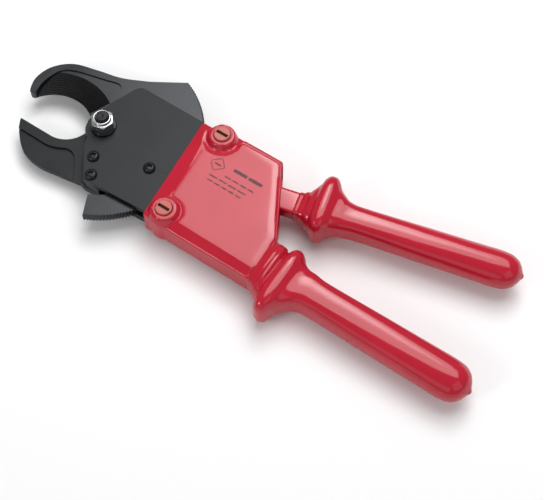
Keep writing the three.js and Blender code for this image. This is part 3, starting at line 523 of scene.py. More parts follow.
def repaint(piece, finish, where):
    """Gives a second finish to the faces whose middle and normal pass a test."""
    piece.data.materials.append(finish)
    index = len(piece.data.materials) - 1
    for face in piece.data.polygons:
        if where(face.center / MM, face.normal):
            face.material_index = index


# %% [markdown]
# ## The moving blade
#
# One plate of tool steel carries the hooked jaw and, behind the pivot, the toothed rim that the
# ratchet drives. Its outline is raised to the plate's thickness. One tool, a cone joined to a
# shallow slab, then cuts the ground bevel and the recess round the mouth, so that the cutting
# edge lies on the underside of the plate.

# %% Sizes of the blade
BLADE_LOW, BLADE_HIGH = level_of("moving_blade")
STOP = centre_of("stop_screw")
RIM_RADIUS = 62.2
RIM_INNER = 47.2
TOOTH_STEP = 1.8
TOOTH_DEPTH = 1.2
TOOTH_PHASE = 0.2
FIRST_TOOTH, LAST_TOOTH = -36, 37
HUB_RADIUS = 12
BUSH_RADIUS = 6.3
MOUTH_CENTRE, MOUTH_RADIUS, MOUTH_BEVEL = (-31, -16.5), 26.5, 15
BLADE_RECESS = 1.0
STOP_ANGLE = math.degrees(math.atan2(STOP.y, STOP.x))
ARM_ANGLE = STOP_ANGLE + math.degrees(4.3 / math.hypot(STOP.x, STOP.y))


def blade_outline():
    tip = (-54.6, -3.4)
    back = [tip, (-57.4, -2.6), (-60.4, 7), (-57.2, 19)]
    back += [(-47, 28.8), (-30, 33.6), (-14.7, 37.2), (2, 45)]
    points = [tip] + through(back)
    points.append(polar(RIM_RADIUS, TOOTH_PHASE + (LAST_TOOTH + 1) * TOOTH_STEP))
    for tooth in range(LAST_TOOTH, FIRST_TOOTH - 1, -1):
        angle = TOOTH_PHASE + tooth * TOOTH_STEP
        points.append(polar(RIM_RADIUS - TOOTH_DEPTH, angle + TOOTH_STEP - 0.02))
        points.append(polar(RIM_RADIUS, angle))
    rim_end = TOOTH_PHASE + FIRST_TOOTH * TOOTH_STEP
    points += arc((0, 0), RIM_INNER, rim_end, ARM_ANGLE + 1)
    points.append(polar(HUB_RADIUS + 4, ARM_ANGLE - 14))
    points += arc((0, 0), HUB_RADIUS, ARM_ANGLE - 30, 158 - 360, 3)
    points += arc(MOUTH_CENTRE, MOUTH_RADIUS, 50, 149, 1.5)
    return points


def ground_outline():
    """The ground part of the jaw, seen from above."""
    start = (-53, -3)
    edge = [start, (-54.4, 7), (-51, 19.3), (-43, 25.1)]
    edge += [(-23, 30.3), (-12.6, 32.4), (-7.6, 26.5), (-8.3, 19.6)]
    return [start] + through(edge) + [(-13, 8), (-16, 2), (-31.5, -22)]


def mouth_cone():
    slope = (BLADE_HIGH - BLADE_LOW - BLADE_RECESS) / (MOUTH_BEVEL - 1)
    low, high = BLADE_LOW - 1, BLADE_HIGH + 1
    wide = MOUTH_RADIUS + (BLADE_HIGH + 1 - BLADE_LOW) / slope
    profile = [(0, low), (MOUTH_RADIUS - 1 / slope, low), (wide, high), (0, high)]
    return turned(MOUTH_CENTRE, profile, "mouth_cone", 180)


# %% Cutting the blade
blade = raised(blade_outline(), BLADE_LOW, BLADE_HIGH)
recess_slab = raised(oblong((-90, -60), (20, 60)), BLADE_HIGH - BLADE_RECESS, BLADE_HIGH + 8)
ground_tool = carve(mouth_cone(), recess_slab, action="UNION")
carve(ground_tool, raised(ground_outline(), BLADE_LOW - 2, BLADE_HIGH + 5), action="INTERSECT")
bush_hole = rod((0, 0), BUSH_RADIUS, BLADE_LOW - 1, BLADE_HIGH + 1)
carve(blade, ground_tool, bush_hole)
finish_piece(
    blade, "moving_blade_steel", blade_blue, "blade", ["moving_blade"], 0.1, FLAT_BELOW
)
blade_ground = ground_steel("ground_mouth", MOUTH_CENTRE, 1.1)


def on_mouth_cone(at, normal):
    near = math.dist(at.xy, MOUTH_CENTRE) < MOUTH_RADIUS + MOUTH_BEVEL
    return near and at.x < -10 and 0.15 < normal.z < 0.985


repaint(blade, blade_ground, on_mouth_cone)

# %% [markdown]
# ## The plates and the fixed jaw
#
# The rear plate runs from the tip of the fixed jaw to the end of the handle. Its cutting edge is
# at its upper face, next to the blade, so its bevel is ground from below and the face around it
# is relieved by a shallow recess. The front plate covers the blade behind the jaws.

# %% Sizes of the plates
REAR_LOW, REAR_HIGH = level_of("rear_frame_plate")
FRONT_LOW, FRONT_HIGH = level_of("front_plate")
HANDLE = centre_of("handle_pivot_pin")
TANG = centre_of("tang_spacer")
TANG_LOW, TANG_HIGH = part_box("tang_spacer")
PLATE_UPPER, PLATE_LOWER = 36.9, -37.2
EYE_RADIUS = 28
BOLT_HOLE, SCREW_HOLE, SLEEVE_HOLE = 4.3, 2.3, 3.8
JAW_RECESS = 1.5
THROAT, THROAT_RADIUS = (-28.5, -2), 17.5
FIXED_TIP_X = -52.6
FIXED_BEVEL = 11
BOOT_LOW, BOOT_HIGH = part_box("insulating_boot")
BOOT_FRONT_UPPER, BOOT_FRONT_LOWER = 49.7, 57.8
BOOT_FRONT_TOP = 36.4
UNDER_BOOT = 0.3


def boot_front(y):
    """Where the slanting front edge of the boot is, at a height across the tool."""
    share = (BOOT_FRONT_TOP - y) / (BOOT_FRONT_TOP - PLATE_LOWER)
    return BOOT_FRONT_UPPER + (BOOT_FRONT_LOWER - BOOT_FRONT_UPPER) * share


def rear_edge():
    """What the boot hides of both outlines: narrower, round the handle pivot, and the tang."""
    inner_upper, inner_lower = 33.7, -34.5
    top = math.degrees(math.asin((inner_upper - HANDLE.y) / EYE_RADIUS))
    tang_upper, tang_lower = TANG_HIGH.y / MM, TANG_LOW.y / MM
    tang_start, tang_end = TANG_LOW.x / MM, TANG_HIGH.x / MM
    points = [(boot_front(y) - UNDER_BOOT, y) for y in (PLATE_UPPER, inner_upper)]
    points += arc(HANDLE.xy, EYE_RADIUS, top, -32)
    points += [(tang_start, tang_upper), (tang_end, tang_upper), (tang_end, tang_lower)]
    points += [(tang_start + 10, tang_lower), (tang_start, inner_lower)]
    points.append((boot_front(inner_lower) - UNDER_BOOT, inner_lower))
    return points


def upper_front_corner():
    start = (-1.3, 31.7)
    return [(-6.4, 17.7), start] + bend(start, (0.2, PLATE_UPPER - 0.8), (3.5, PLATE_UPPER), 8)


def front_outline():
    points = [(12.8, PLATE_LOWER), (9.1, -32.2), (-1.8, -17.8)]
    points += arc((0, 0), HUB_RADIUS - 1.2, 245, 178, 3)
    return points + upper_front_corner() + rear_edge()


def rear_outline():
    belly = [(7.8, -36.2), (-8, -38.7), (-22.6, -40.4)]
    belly += [(-36, -37.4), (-46.7, -28.6), (FIXED_TIP_X + 0.8, -21)]
    points = [(12.8, PLATE_LOWER), belly[0]] + through(belly) + [(FIXED_TIP_X, -18.1)]
    points += arc(THROAT, THROAT_RADIUS, -90, -14, 1.5)
    points += arc((0, 0), HUB_RADIUS, 205, 150, 3)
    return points + upper_front_corner() + rear_edge()


# %% Tools that cut the fixed jaw
def throat_cone():
    slope = (REAR_HIGH - REAR_LOW) / FIXED_BEVEL
    low, high = REAR_LOW - 1, REAR_HIGH + 1
    wide = THROAT_RADIUS + (REAR_HIGH - low) / slope
    profile = [(0, low), (wide, low), (THROAT_RADIUS - 1 / slope, high), (0, high)]
    return turned(THROAT, profile, "throat_cone", 180)


def straight_wedge():
    """The straight part of the fixed jaw's bevel, as a long wedge in front of the throat."""
    slope = (REAR_HIGH - REAR_LOW) / FIXED_BEVEL
    edge_y = THROAT[1] - THROAT_RADIUS
    low, high = REAR_LOW - 1, REAR_HIGH + 1
    side = [
        (edge_y + 1 / slope, high),
        (edge_y - (REAR_HIGH - low) / slope, low),
        (edge_y + 20, low),
        (edge_y + 20, high),
    ]
    return swept([(THROAT[0], y, z) for y, z in side], (-60, 0, 0), "straight_wedge")


def fixed_bevel_tool():
    limit = [(-70, 5), (-12.5, 5), (-13.5, -22), (-24, -34), (-70, -34)]
    tool = carve(throat_cone(), straight_wedge(), action="UNION")
    return carve(tool, raised(limit, REAR_LOW - 5, REAR_HIGH + 5), action="INTERSECT")


def jaw_recess_tool():
    points = [(-60, -27), (-46, -26), (-27, -26.2)]
    points += bend((-27, -26.2), (-21, -25.6), (-15.5, -22))
    points += bend((-15.5, -22), (-11.5, -20), (-7.4, -22.8))
    points += bend((-7.4, -22.8), (-3.5, -26), (3.4, -37))
    points += [(3.4, -50), (-60, -50)]
    return raised(points, REAR_HIGH - JAW_RECESS, REAR_HIGH + 8)


def plate_holes(low, high):
    """Holes for the pivot, the three small screws, the two cover screws and the handle pin."""
    holes = [rod((0, 0), BOLT_HOLE, low, high)]
    for name in ("jaw_screw_upper", "jaw_screw_lower", "stop_screw"):
        holes.append(rod(centre_of(name).xy, SCREW_HOLE, low, high, 32))
    for name in ("cover_nut_upper", "cover_nut_lower"):
        holes.append(rod(centre_of(name).xy, SLEEVE_HOLE, low, high, 32))
    holes.append(rod(HANDLE.xy, BOLT_HOLE, low, high))
    return holes


# %% Cutting the plates
rear = raised(rear_outline(), REAR_LOW, REAR_HIGH)
carve(rear, fixed_bevel_tool(), jaw_recess_tool(), *plate_holes(REAR_LOW - 1, REAR_HIGH + 1))
finish_piece(
    rear, "rear_plate_steel", plate_black, "frame", ["rear_frame_plate"], 0.16, FLAT_BELOW
)
front = raised(front_outline(), FRONT_LOW, FRONT_HIGH)
carve(front, *plate_holes(FRONT_LOW - 1, FRONT_HIGH + 1))
finish_piece(
    front, "front_plate_steel", plate_black, "frame", ["front_plate"], 0.2, FLAT_BELOW
)

# %% [markdown]
# ## Nut, bolt and small screws
#
# A self-locking nut holds the blade: a chamfered hexagon, a thin rolled collar, and a nylon ring
# that grips the thread. The hexagon is cut by a cone, which leaves the curved corners that every
# nut has.

# %% The pivot nut
NUT_LOW, NUT_HIGH = level_of("pivot_nut")
NUT_FLATS = 13
NUT_TURN = 11
HEX_HIGH = NUT_HIGH - 2
COLLAR_RADIUS, COLLAR_BORE = 5.7, 4.4
CHAMFER_START = 0.2


def chamfer_cone(low, high, flats, above):
    """A body that leaves a hexagon's corners cut at 30 degrees at its top."""
    reach = flats
    inner = flats / 2 - CHAMFER_START
    drop = (reach - flats / 2 + CHAMFER_START) * math.tan(math.radians(30))
    profile = [(0, low - 2), (reach, low - 2), (reach, high - drop), (inner, high), (0, high + above)]
    return turned((0, 0), profile, "chamfer_cone", 96)


nut = prism((0, 0), NUT_FLATS, NUT_LOW, HEX_HIGH, NUT_TURN)
carve(nut, chamfer_cone(NUT_LOW, HEX_HIGH, NUT_FLATS, 0), action="INTERSECT")
collar_profile = [
    (COLLAR_BORE, HEX_HIGH - 1),
    (COLLAR_RADIUS + 0.15, HEX_HIGH - 1),
    (COLLAR_RADIUS + 0.15, HEX_HIGH + 0.2),
    (COLLAR_RADIUS - 0.05, HEX_HIGH + 1.3),
    (COLLAR_RADIUS - 0.35, NUT_HIGH - 0.15),
    (COLLAR_RADIUS - 0.8, NUT_HIGH),
    (COLLAR_RADIUS - 1.15, NUT_HIGH - 0.2),
    (COLLAR_RADIUS - 1.2, HEX_HIGH + 0.3),
    (COLLAR_BORE, HEX_HIGH + 0.3),
    (COLLAR_BORE, HEX_HIGH - 1),
]
carve(nut, turned((0, 0), collar_profile, "collar", 96), action="UNION")
carve(nut, rod((0, 0), BOLT_HOLE, NUT_LOW - 1, NUT_HIGH + 1))
finish_piece(nut, "pivot_nut_plated", bright_zinc, "frame", ["pivot_nut"], 0.12)


# %% The pivot bolt and its washer
BOLT_RADIUS, THREAD_ROOT, THREAD_PITCH, THREAD_START = 4, 3.45, 1.25, 19.0
BOLT_HEAD_HIGH = 5
WASHER_RADIUS, WASHER_EDGE = 8, 0.3


def bolt_profile():
    """A plain shank, then a row of rings for the thread, and a small centre mark in the end."""
    high = level_of("pivot_bolt")[1]
    profile = [(0, BOLT_HEAD_HIGH / 2), (BOLT_RADIUS, BOLT_HEAD_HIGH / 2), (BOLT_RADIUS, THREAD_START)]
    level = THREAD_START
    while level + THREAD_PITCH < high - 0.6:
        profile += [(THREAD_ROOT, level + THREAD_PITCH / 2), (BOLT_RADIUS, level + THREAD_PITCH)]
        level += THREAD_PITCH
    end = [(3.9, high - 0.9), (3.3, high), (1.2, high), (0.9, high - 0.25), (0, high - 0.25)]
    return profile + end


bolt = turned((0, 0), bolt_profile(), "bolt", 48)
bolt_head = prism((0, 0), NUT_FLATS, 0, BOLT_HEAD_HIGH, NUT_TURN)
carve(bolt_head, chamfer_cone(0, BOLT_HEAD_HIGH, NUT_FLATS, 0), action="INTERSECT")
upside_down = Matrix.Translation((0, 0, BOLT_HEAD_HIGH)) @ Matrix.Scale(-1, 4, (0, 0, 1))
bolt_head.data.transform(upside_down)
bolt_head.data.flip_normals()
carve(bolt, bolt_head, action="UNION")
finish_piece(bolt, "pivot_bolt_black", screw_black, "frame", ["pivot_bolt"], 0.1)

WASHER_LOW, WASHER_HIGH = level_of("pivot_washer")
washer_flat = WASHER_RADIUS - WASHER_EDGE
washer_profile = [(0, WASHER_LOW), (washer_flat, WASHER_LOW), (WASHER_RADIUS, WASHER_LOW + WASHER_EDGE)]
washer_profile += [(WASHER_RADIUS, WASHER_HIGH - WASHER_EDGE), (washer_flat, WASHER_HIGH), (0, WASHER_HIGH)]
washer = turned((0, 0), washer_profile, "washer", 96)
carve(washer, rod((0, 0), BOLT_HOLE, WASHER_LOW - 1, WASHER_HIGH + 1))
finish_piece(washer, "pivot_washer_black", screw_black, "frame", ["pivot_washer"])


# %% Small socket screws
BUTTON_HIGH = 2.2
SOCKET_FLATS = 2.9


def button_screw(node_name):
    """A low domed head with a hexagon socket, on a plain shank."""
    low, high = level_of(node_name)
    centre = centre_of(node_name).xy
    seat = high - BUTTON_HIGH
    dome = []
    for i in range(9):
        angle = math.radians(12 + 66 * i / 8)
        dome.append((3.85 * math.cos(angle) ** 0.62, seat + BUTTON_HIGH * math.sin(angle) ** 1.1))
    shank = [(0, low), (2, low), (2, seat), (3.6, seat), (3.8, seat + 0.2)]
    screw = turned(centre, shank + dome + [(1.75, high), (0, high)], "screw", 64)
    socket = prism(centre, SOCKET_FLATS, seat + 0.5, high + 2, 20)
    mouth_profile = [(0, high - 0.55), (1.5, high - 0.55), (2.1, high + 0.2), (0, high + 0.2)]
    carve(screw, socket, turned(centre, mouth_profile, "mouth", 48))
    return finish_piece(screw, node_name + "_black", screw_black, "frame", [node_name], 0.08)


for name in ("jaw_screw_upper", "jaw_screw_lower", "stop_screw"):
    button_screw(name)

# %% [markdown]
# ## The insulating boot
#
# The boot is a dipped plastic cover. Seen from above it has a raised flat, a border that slopes
# away from the flat, and a rounded rim. Round each cover screw the flat gives way to a boss. To
# get one unbroken glossy skin, a small face at the middle of the flat is extruded outwards ring by
# ring, over the rim, down the wall and in again underneath. The height of a point on the skin
# depends on how far it is from the flat, from the rim, from the bosses and from the front edge,
# where the border is flatter and the rim sharper.

# %% Sizes of the boot
SKIN_LOW = BOOT_LOW.z / MM
SKIN_HIGH = 22.6
BOSS_HIGH = BOOT_HIGH.z / MM
BORDER_DROP = 2.3
FRONT_DROP = 1.45
CROWN = 0.25
UNDER_RISE = 1.5
RIM, FRONT_RIM, LOW_RIM = 1.9, 0.65, 0.9
SLOPE_WIDTH = 8.5
BOSSES = [centre_of("cover_screw_upper").xy, centre_of("cover_screw_lower").xy]
BOSS_FOOT, BOSS_TOP = 10.3, 7.3
DIP_SLOPE, DIP_WIDTH = 0.25, 3.2
FLAT_CUTS = (13, 10.8)
BOOT_MIDDLE = Vector((94, 0))
RAYS = 480
BOOT_UPPER = 40.3
BOOT_LOWER = PLATE_LOWER
REAR_X, REAR_Y = BOOT_HIGH.x / MM, -7.5
CORNER_X = 106.8
NOTCH_X = 72.4
LOWER_BORDER, UPPER_BORDER = 6.2, 3.8
BOOT_WALL = 2.4
HOLLOW_LOWER, HOLLOW_UPPER = -34.8, 34
HOLLOW_ROOM = 0.3
SEAT_RADIUS, SEAT_DEPTH = 5.6, 4.3

boot_edge = [
    (boot_front(BOOT_LOWER), BOOT_LOWER),
    (REAR_X, BOOT_LOWER),
    (REAR_X, REAR_Y),
    (CORNER_X, BOOT_UPPER),
    (NOTCH_X + 1.5, BOOT_UPPER),
    (NOTCH_X - 2, BOOT_FRONT_TOP),
    (boot_front(BOOT_FRONT_TOP), BOOT_FRONT_TOP),
]
flat_edge = [
    (boot_front(BOOT_LOWER + LOWER_BORDER) + 8.6, BOOT_LOWER + LOWER_BORDER),
    (REAR_X - 0.6, BOOT_LOWER + LOWER_BORDER),
    (REAR_X - 1.8, REAR_Y - 0.6),
    (CORNER_X - 1.4, BOOT_UPPER - 3.2),
    (boot_front(BOOT_UPPER - UPPER_BORDER) + 9.4, BOOT_UPPER - UPPER_BORDER),
]


def reach_of(polygon, direction):
    """How far it is from the boot's middle to a polygon's edge along a direction."""
    best = 1e9
    for (x1, y1), (x2, y2) in zip(polygon, polygon[1:] + polygon[:1]):
        edge = Vector((x2 - x1, y2 - y1))
        start = Vector((x1, y1)) - BOOT_MIDDLE
        cross = direction.x * edge.y - direction.y * edge.x
        if abs(cross) < 1e-9:
            continue
        along = (start.x * edge.y - start.y * edge.x) / cross
        share = (start.x * direction.y - start.y * direction.x) / cross
        if along > 0 and -1e-6 <= share <= 1 + 1e-6:
            best = min(best, along)
    return best


def circle_reach(centre, radius, direction, far):
    """Where a direction from the boot's middle meets a circle: its far or its near side."""
    to = Vector(centre) - BOOT_MIDDLE
    along = to.dot(direction)
    off = to.length_squared - along**2
    if along <= 0 or off > radius**2:
        return None
    half = math.sqrt(radius**2 - off)
    return along + half if far else along - half


def smoothed(values, rounds):
    """Averages each value with its neighbours round a closed row, a few times."""
    count = len(values)
    for _ in range(rounds):
        values = [(values[i - 1] + 2 * values[i] + values[(i + 1) % count]) / 4 for i in range(count)]
    return values


def boot_reaches():
    """Distances from the middle to the flat's edge and to the boot's edge, one for each ray."""
    flat, edge = [], []
    for i in range(RAYS):
        direction = Vector((math.cos(math.tau * i / RAYS), math.sin(math.tau * i / RAYS)))
        inner, outer = reach_of(flat_edge, direction), reach_of(boot_edge, direction)
        for boss, cut in zip(BOSSES, FLAT_CUTS):
            near = circle_reach(boss, cut, direction, False)
            far = circle_reach(boss, BOSS_FOOT - 0.4, direction, True)
            inner = min(inner, near) if near else inner
            outer = max(outer, far) if far else outer
        flat.append(inner)
        edge.append(outer)
    return smoothed(flat, 6), smoothed(edge, 2)


# %% The skin of the boot
def ease(t):
    """A smooth step from 0 to 1."""
    t = min(max(t, 0), 1)
    return t * t * (3 - 2 * t)


def under_height(share):
    """The level of the underside, which is flat in the middle and rises towards the rim."""
    return SKIN_LOW + UNDER_RISE * (0.12 * ease(share / 0.12) + 0.88 * max(0, share - 0.06) / 0.94)


def near_front(x, y):
    """1 at the boot's front edge, where the skin is cut off by the plates, and 0 well behind it."""
    return ease(1 - (x - boot_front(y) - 9) / 6)


def boss_height(x, y):
    """1 on top of a boss, 0 beyond its foot."""
    rise = 0
    for boss in BOSSES:
        away = math.dist((x, y), boss)
        rise = max(rise, ease((BOSS_FOOT - away) / (BOSS_FOOT - BOSS_TOP)))
    return rise


def dip(x, y):
    """How far the skin dips between the flat and a boss."""
    deep = 0
    for boss, cut in zip(BOSSES, FLAT_CUTS):
        inside = max(cut - math.dist((x, y), boss), 0)
        deep = max(deep, DIP_SLOPE * min(inside, DIP_WIDTH))
    return deep


FLAT_INSETS = (0.01, 0.1, 0.3, 0.55, 0.78, 0.84, 0.88, 0.92, 0.95, 0.975)
BORDER_SHARES = [0, 0.02, 0.04, 0.07, 0.1, 0.14, 0.18] + [0.18 + 0.041 * i for i in range(1, 21)]
UNDER_SHARES = (0.8, 0.6, 0.4, 0.25, 0.15, 0.07, 0)
CROWN_START = 0.84
FLAT_EDGE = SKIN_HIGH - CROWN


def boot_rings():
    """Rings of points: the flat, the border, over the rim, the wall, and in again underneath."""
    flat, edge = boot_reaches()
    rings, rims, drops = [], [], []

    def spot(i, reach):
        turn = math.tau * i / RAYS
        return BOOT_MIDDLE.x + math.cos(turn) * reach, BOOT_MIDDLE.y + math.sin(turn) * reach

    def ring(reach_at, height_at):
        places = [spot(i, reach_at(i)) for i in range(RAYS)]
        rings.append([(x, y, height_at(i, x, y)) for i, (x, y) in enumerate(places)])

    for i in range(RAYS):
        front = near_front(*spot(i, edge[i]))
        wide = edge[i] - flat[i]
        rims.append(min(RIM + (FRONT_RIM - RIM) * front, wide / 2))
        drops.append(min(BORDER_DROP, 0.45 * wide) * (1 - front) + FRONT_DROP * front)

    def over_rim(share, turn):
        """The height at a share of the border's width, or round the rim at a turn in degrees."""

        def height(i, x, y):
            width = edge[i] - rims[i] - flat[i]
            sloped = max(0, 1 - (1 - share) * width / min(width, SLOPE_WIDTH))
            low = FLAT_EDGE - max(drops[i] * sloped, dip(x, y))
            upright = math.cos(math.radians(turn))
            return low - rims[i] * (1 - upright) + (BOSS_HIGH - low) * boss_height(x, y) * upright

        return height

    def crowned(inset):
        """The flat, which turns down a little near its edge."""
        return SKIN_HIGH - CROWN * (max(0, inset - CROWN_START) / 0.16) ** 2

    for inset in FLAT_INSETS:
        ring(lambda i: flat[i] * inset, lambda i, x, y: crowned(inset))
    for share in BORDER_SHARES:
        ring(lambda i: flat[i] + (edge[i] - rims[i] - flat[i]) * share, over_rim(share, 0))
    for step in range(1, 9):
        turn = 90 * step / 8
        ring(lambda i: edge[i] - rims[i] + rims[i] * math.sin(math.radians(turn)), over_rim(1, turn))
    wall_high = [z for x, y, z in rings[-1]]
    wall_low = SKIN_LOW + UNDER_RISE + LOW_RIM
    for share in (0.33, 0.66):
        ring(lambda i: edge[i], lambda i, x, y: wall_high[i] * (1 - share) + wall_low * share)
    for step in range(0, 7):
        turn = math.radians(90 * step / 6)
        inward, down = LOW_RIM * (1 - math.cos(turn)), LOW_RIM * math.sin(turn)
        ring(lambda i: edge[i] - inward, lambda i, x, y: wall_low - down)
    for share in UNDER_SHARES:
        under = under_height(share)
        ring(lambda i: flat[i] + (edge[i] - LOW_RIM - flat[i]) * share, lambda i, x, y: under)
    for inset in reversed(FLAT_INSETS):
        ring(lambda i: flat[i] * inset, lambda i, x, y: SKIN_LOW)
    return rings


def drawn_out(rings, name):
    """A closed body from rows of points: the first is a face, whose rim is extruded row by row."""
    bm = bmesh.new()
    points = [bm.verts.new(place) for place in rings[0]]
    bm.faces.new(points)
    rim = list(bm.edges)
    for row in rings[1:]:
        grown = bmesh.ops.extrude_edge_only(bm, edges=rim)["geom"]
        fresh = {v for v in grown if isinstance(v, bmesh.types.BMVert)}
        rim = [e for e in grown if isinstance(e, bmesh.types.BMEdge) and fresh.issuperset(e.verts)]
        points = [next(e.other_vert(p) for e in p.link_edges if e.other_vert(p) in fresh) for p in points]
        for point, place in zip(points, row):
            point.co = place
    bmesh.ops.edgeloop_fill(bm, edges=rim)
    bmesh.ops.recalc_face_normals(bm, faces=bm.faces)
    return object_of(bm, name)


boot = drawn_out(boot_rings(), "boot")
print("boot skin:", len(boot.data.polygons), "faces")


# %% The hollow of the boot
def inside_boot(points):
    """A plan outline raised through the room that the boot leaves for the plates."""
    return raised(points, REAR_LOW - HOLLOW_ROOM, FRONT_HIGH + HOLLOW_ROOM)


def boot_hollow():
    upper = BOOT_UPPER - BOOT_WALL
    points = [
        (30, HOLLOW_LOWER),
        (REAR_X - BOOT_WALL, HOLLOW_LOWER),
        (REAR_X - BOOT_WALL, REAR_Y + 3),
        (REAR_X + 20, REAR_Y + 23),
        (CORNER_X + 40, upper),
        (NOTCH_X + BOOT_WALL + 2, upper),
        (NOTCH_X + BOOT_WALL + 2, HOLLOW_UPPER),
        (30, HOLLOW_UPPER),
    ]
    return inside_boot(points)


def tang_window():
    low, high = TANG_LOW.y / MM - HOLLOW_ROOM, TANG_HIGH.y / MM + HOLLOW_ROOM
    return inside_boot(oblong((REAR_X - 20, low), (REAR_X + 20, high)))


def screw_seats():
    seats = []
    for node_name in ("cover_screw_upper", "cover_screw_lower"):
        at = centre_of(node_name).xy
        seats.append(rod(at, SEAT_RADIUS, level_of(node_name)[1] - SEAT_DEPTH, BOSS_HIGH + 4, 72))
        seats.append(rod(at, SLEEVE_HOLE, SKIN_LOW - 4, BOSS_HIGH + 4, 48))
    return seats


rim_slot = rod((0, 0), RIM_RADIUS + 0.9, BLADE_LOW - 0.6, FRONT_LOW + 0.3, 180)
carve(boot, boot_hollow(), rim_slot, tang_window(), *screw_seats())
finish_piece(
    boot, "boot_skin", red_skin, "frame", ["insulating_boot"], smooth=math.radians(40)
)


# %% The cover screws
COVER_HEAD_RADIUS, COVER_SHANK_RADIUS = 5.2, 2.5
COVER_HEAD_HIGH = 4
SLOT_HALF_LENGTH, SLOT_HALF_WIDTH, SLOT_DEPTH = 3.9, 1.05, 1.6


def cover_screw(node_name):
    """A plastic-headed slotted screw that stands in its boss."""
    low, high = level_of(node_name)
    at = centre_of(node_name).xy
    seat = high - COVER_HEAD_HIGH
    profile = [
        (0, low),
        (COVER_SHANK_RADIUS, low),
        (COVER_SHANK_RADIUS, seat),
        (COVER_HEAD_RADIUS, seat),
        (COVER_HEAD_RADIUS, high - 0.9),
        (COVER_HEAD_RADIUS - 0.15, high - 0.35),
        (COVER_HEAD_RADIUS - 0.5, high),
        (0, high),
    ]
    screw = turned(at, profile, "screw", 72)
    corner = Vector((SLOT_HALF_LENGTH, SLOT_HALF_WIDTH))
    carve(screw, raised(oblong(at - corner, at + corner), high - SLOT_DEPTH, high + 2))
    finish_piece(screw, node_name + "_red", screw_red, "frame", [node_name], 0.08)

    def in_slot_painted_shade(place, normal):
        off = place.xy - at
        level = high - SLOT_DEPTH - 0.1 < place.z < high - 0.25
        return level and abs(off.x) < corner.x + 0.05 and abs(off.y) < corner.y + 0.05

    # The faces inside the slot get painted shade, a near-black finish where the red plastic lies in shade.
    repaint(screw, slot_painted_shade, in_slot_painted_shade)


for name in ("cover_screw_upper", "cover_screw_lower"):
    cover_screw(name)

# %% The printed mark
PRINT_LOW, PRINT_HIGH = SKIN_HIGH - 0.06, SKIN_HIGH + 0.03
DIAMOND, DIAMOND_SIDE = (75.6, 15.6), 7.2
BAR_GAP = 1.3
# Each row: where it starts and ends, its middle, its height and the length of a bar.
PRINT_ROWS = [
    (86, 107, 17.6, 2.2, 9.6),
    (84, 106, 11, 0.9, 4.2),
    (75.4, 102.4, 7, 0.9, 5.6),
    (76.2, 102, 3.6, 0.9, 3.8),
]


def bar(bm, centre, length, width, turn=0):
    """One flat bar of print, lying on the skin."""
    made = bmesh.ops.create_cube(bm, size=1)["verts"]
    shape = Matrix.Diagonal((length, width, PRINT_HIGH - PRINT_LOW, 1))
    place = Matrix.Translation((*centre, (PRINT_LOW + PRINT_HIGH) / 2))
    bmesh.ops.transform(bm, matrix=place @ Matrix.Rotation(turn, 4, "Z") @ shape, verts=made)


def printed_mark():
    """A diamond with a bar in it and four rows of bars, which stand for print and say nothing."""
    bm = bmesh.new()
    for quarter in range(4):
        turn = math.radians(45 + 90 * quarter)
        x = DIAMOND[0] + DIAMOND_SIDE / 2 * math.cos(turn)
        y = DIAMOND[1] + DIAMOND_SIDE / 2 * math.sin(turn)
        bar(bm, (x, y), DIAMOND_SIDE - 0.7, 0.5, turn + math.radians(90))
    bar(bm, DIAMOND, 4.4, 1.1)
    for start, end, middle, height, length in PRINT_ROWS:
        while start + length <= end:
            bar(bm, (start + length / 2, middle), length, height)
            start += length + BAR_GAP
    return object_of(bm, "mark")


finish_piece(printed_mark(), "printed_mark", print_dark, "frame")

# %% [markdown]
# ## The grips
#
# Both grips are dipped over a steel bar. They begin in a stepped neck, swell into a collar that
# stops the hand, and run back to a blunt end with the small nib where the dipping drained. A
# section of the grip is an oval with a flattened top and bottom. Stations along the grip give
# its half width, half height, sideways shift and how square it is, and a smooth curve through
# them gives the sections in between.


# %% Rings along a grip
def section(half_width, half_height, square, sides=56):
    """Points of an oval that is squarer the higher its power is."""
    points = []
    for i in range(sides):
        angle = math.tau * i / sides
        c, s = math.cos(angle), math.sin(angle)
        y = math.copysign(abs(c) ** (2 / square), c) * half_width
        z = math.copysign(abs(s) ** (2 / square), s) * half_height
        points.append((y, z))
    return points


def grip_body(stations, place, name):
    """Draws sections out along a grip. Each station is (along, half width, half height, shift, square)."""
    rows = [stations[0]] + through(stations, 6)
    rings = []
    for along, half_width, half_height, shift, square in rows:
        rings.append([place(along, shift + y, z) for y, z in section(half_width, half_height, square)])
    return drawn_out(rings, name)


def hand_part(start, end, front, rear, height, square):
    """Stations from behind the collar to the nib."""
    round_end = end - 1.4
    swell = round_end - 19
    return [
        (start, front * 1.03, height * 0.94, 0, square + 0.5),
        (start + 10, front * 0.95, height * 0.925, 0, square + 0.4),
        ((start + swell) / 2, (front + rear) / 2 - 0.3, height * 0.94, 0, square - 0.1),
        (swell - 8, rear * 0.98, height * 0.99, 0, square - 0.45),
        (swell, rear, height, 0, 2.05),
        (swell + 6, rear * 0.99, height * 0.99, 0, 2),
        (round_end - 8, rear * 0.93, height * 0.93, 0, 2),
        (round_end - 4, rear * 0.75, height * 0.75, 0, 2),
        (round_end - 1.8, rear * 0.54, height * 0.54, 0, 2),
        (round_end - 0.6, rear * 0.36, height * 0.36, 0, 2),
        (round_end + 0.3, rear * 0.2, height * 0.21, 0, 2),
        (end - 0.4, 1.3, 1.3, 0, 2),
        (end, 0.4, 0.4, 0, 2),
    ]


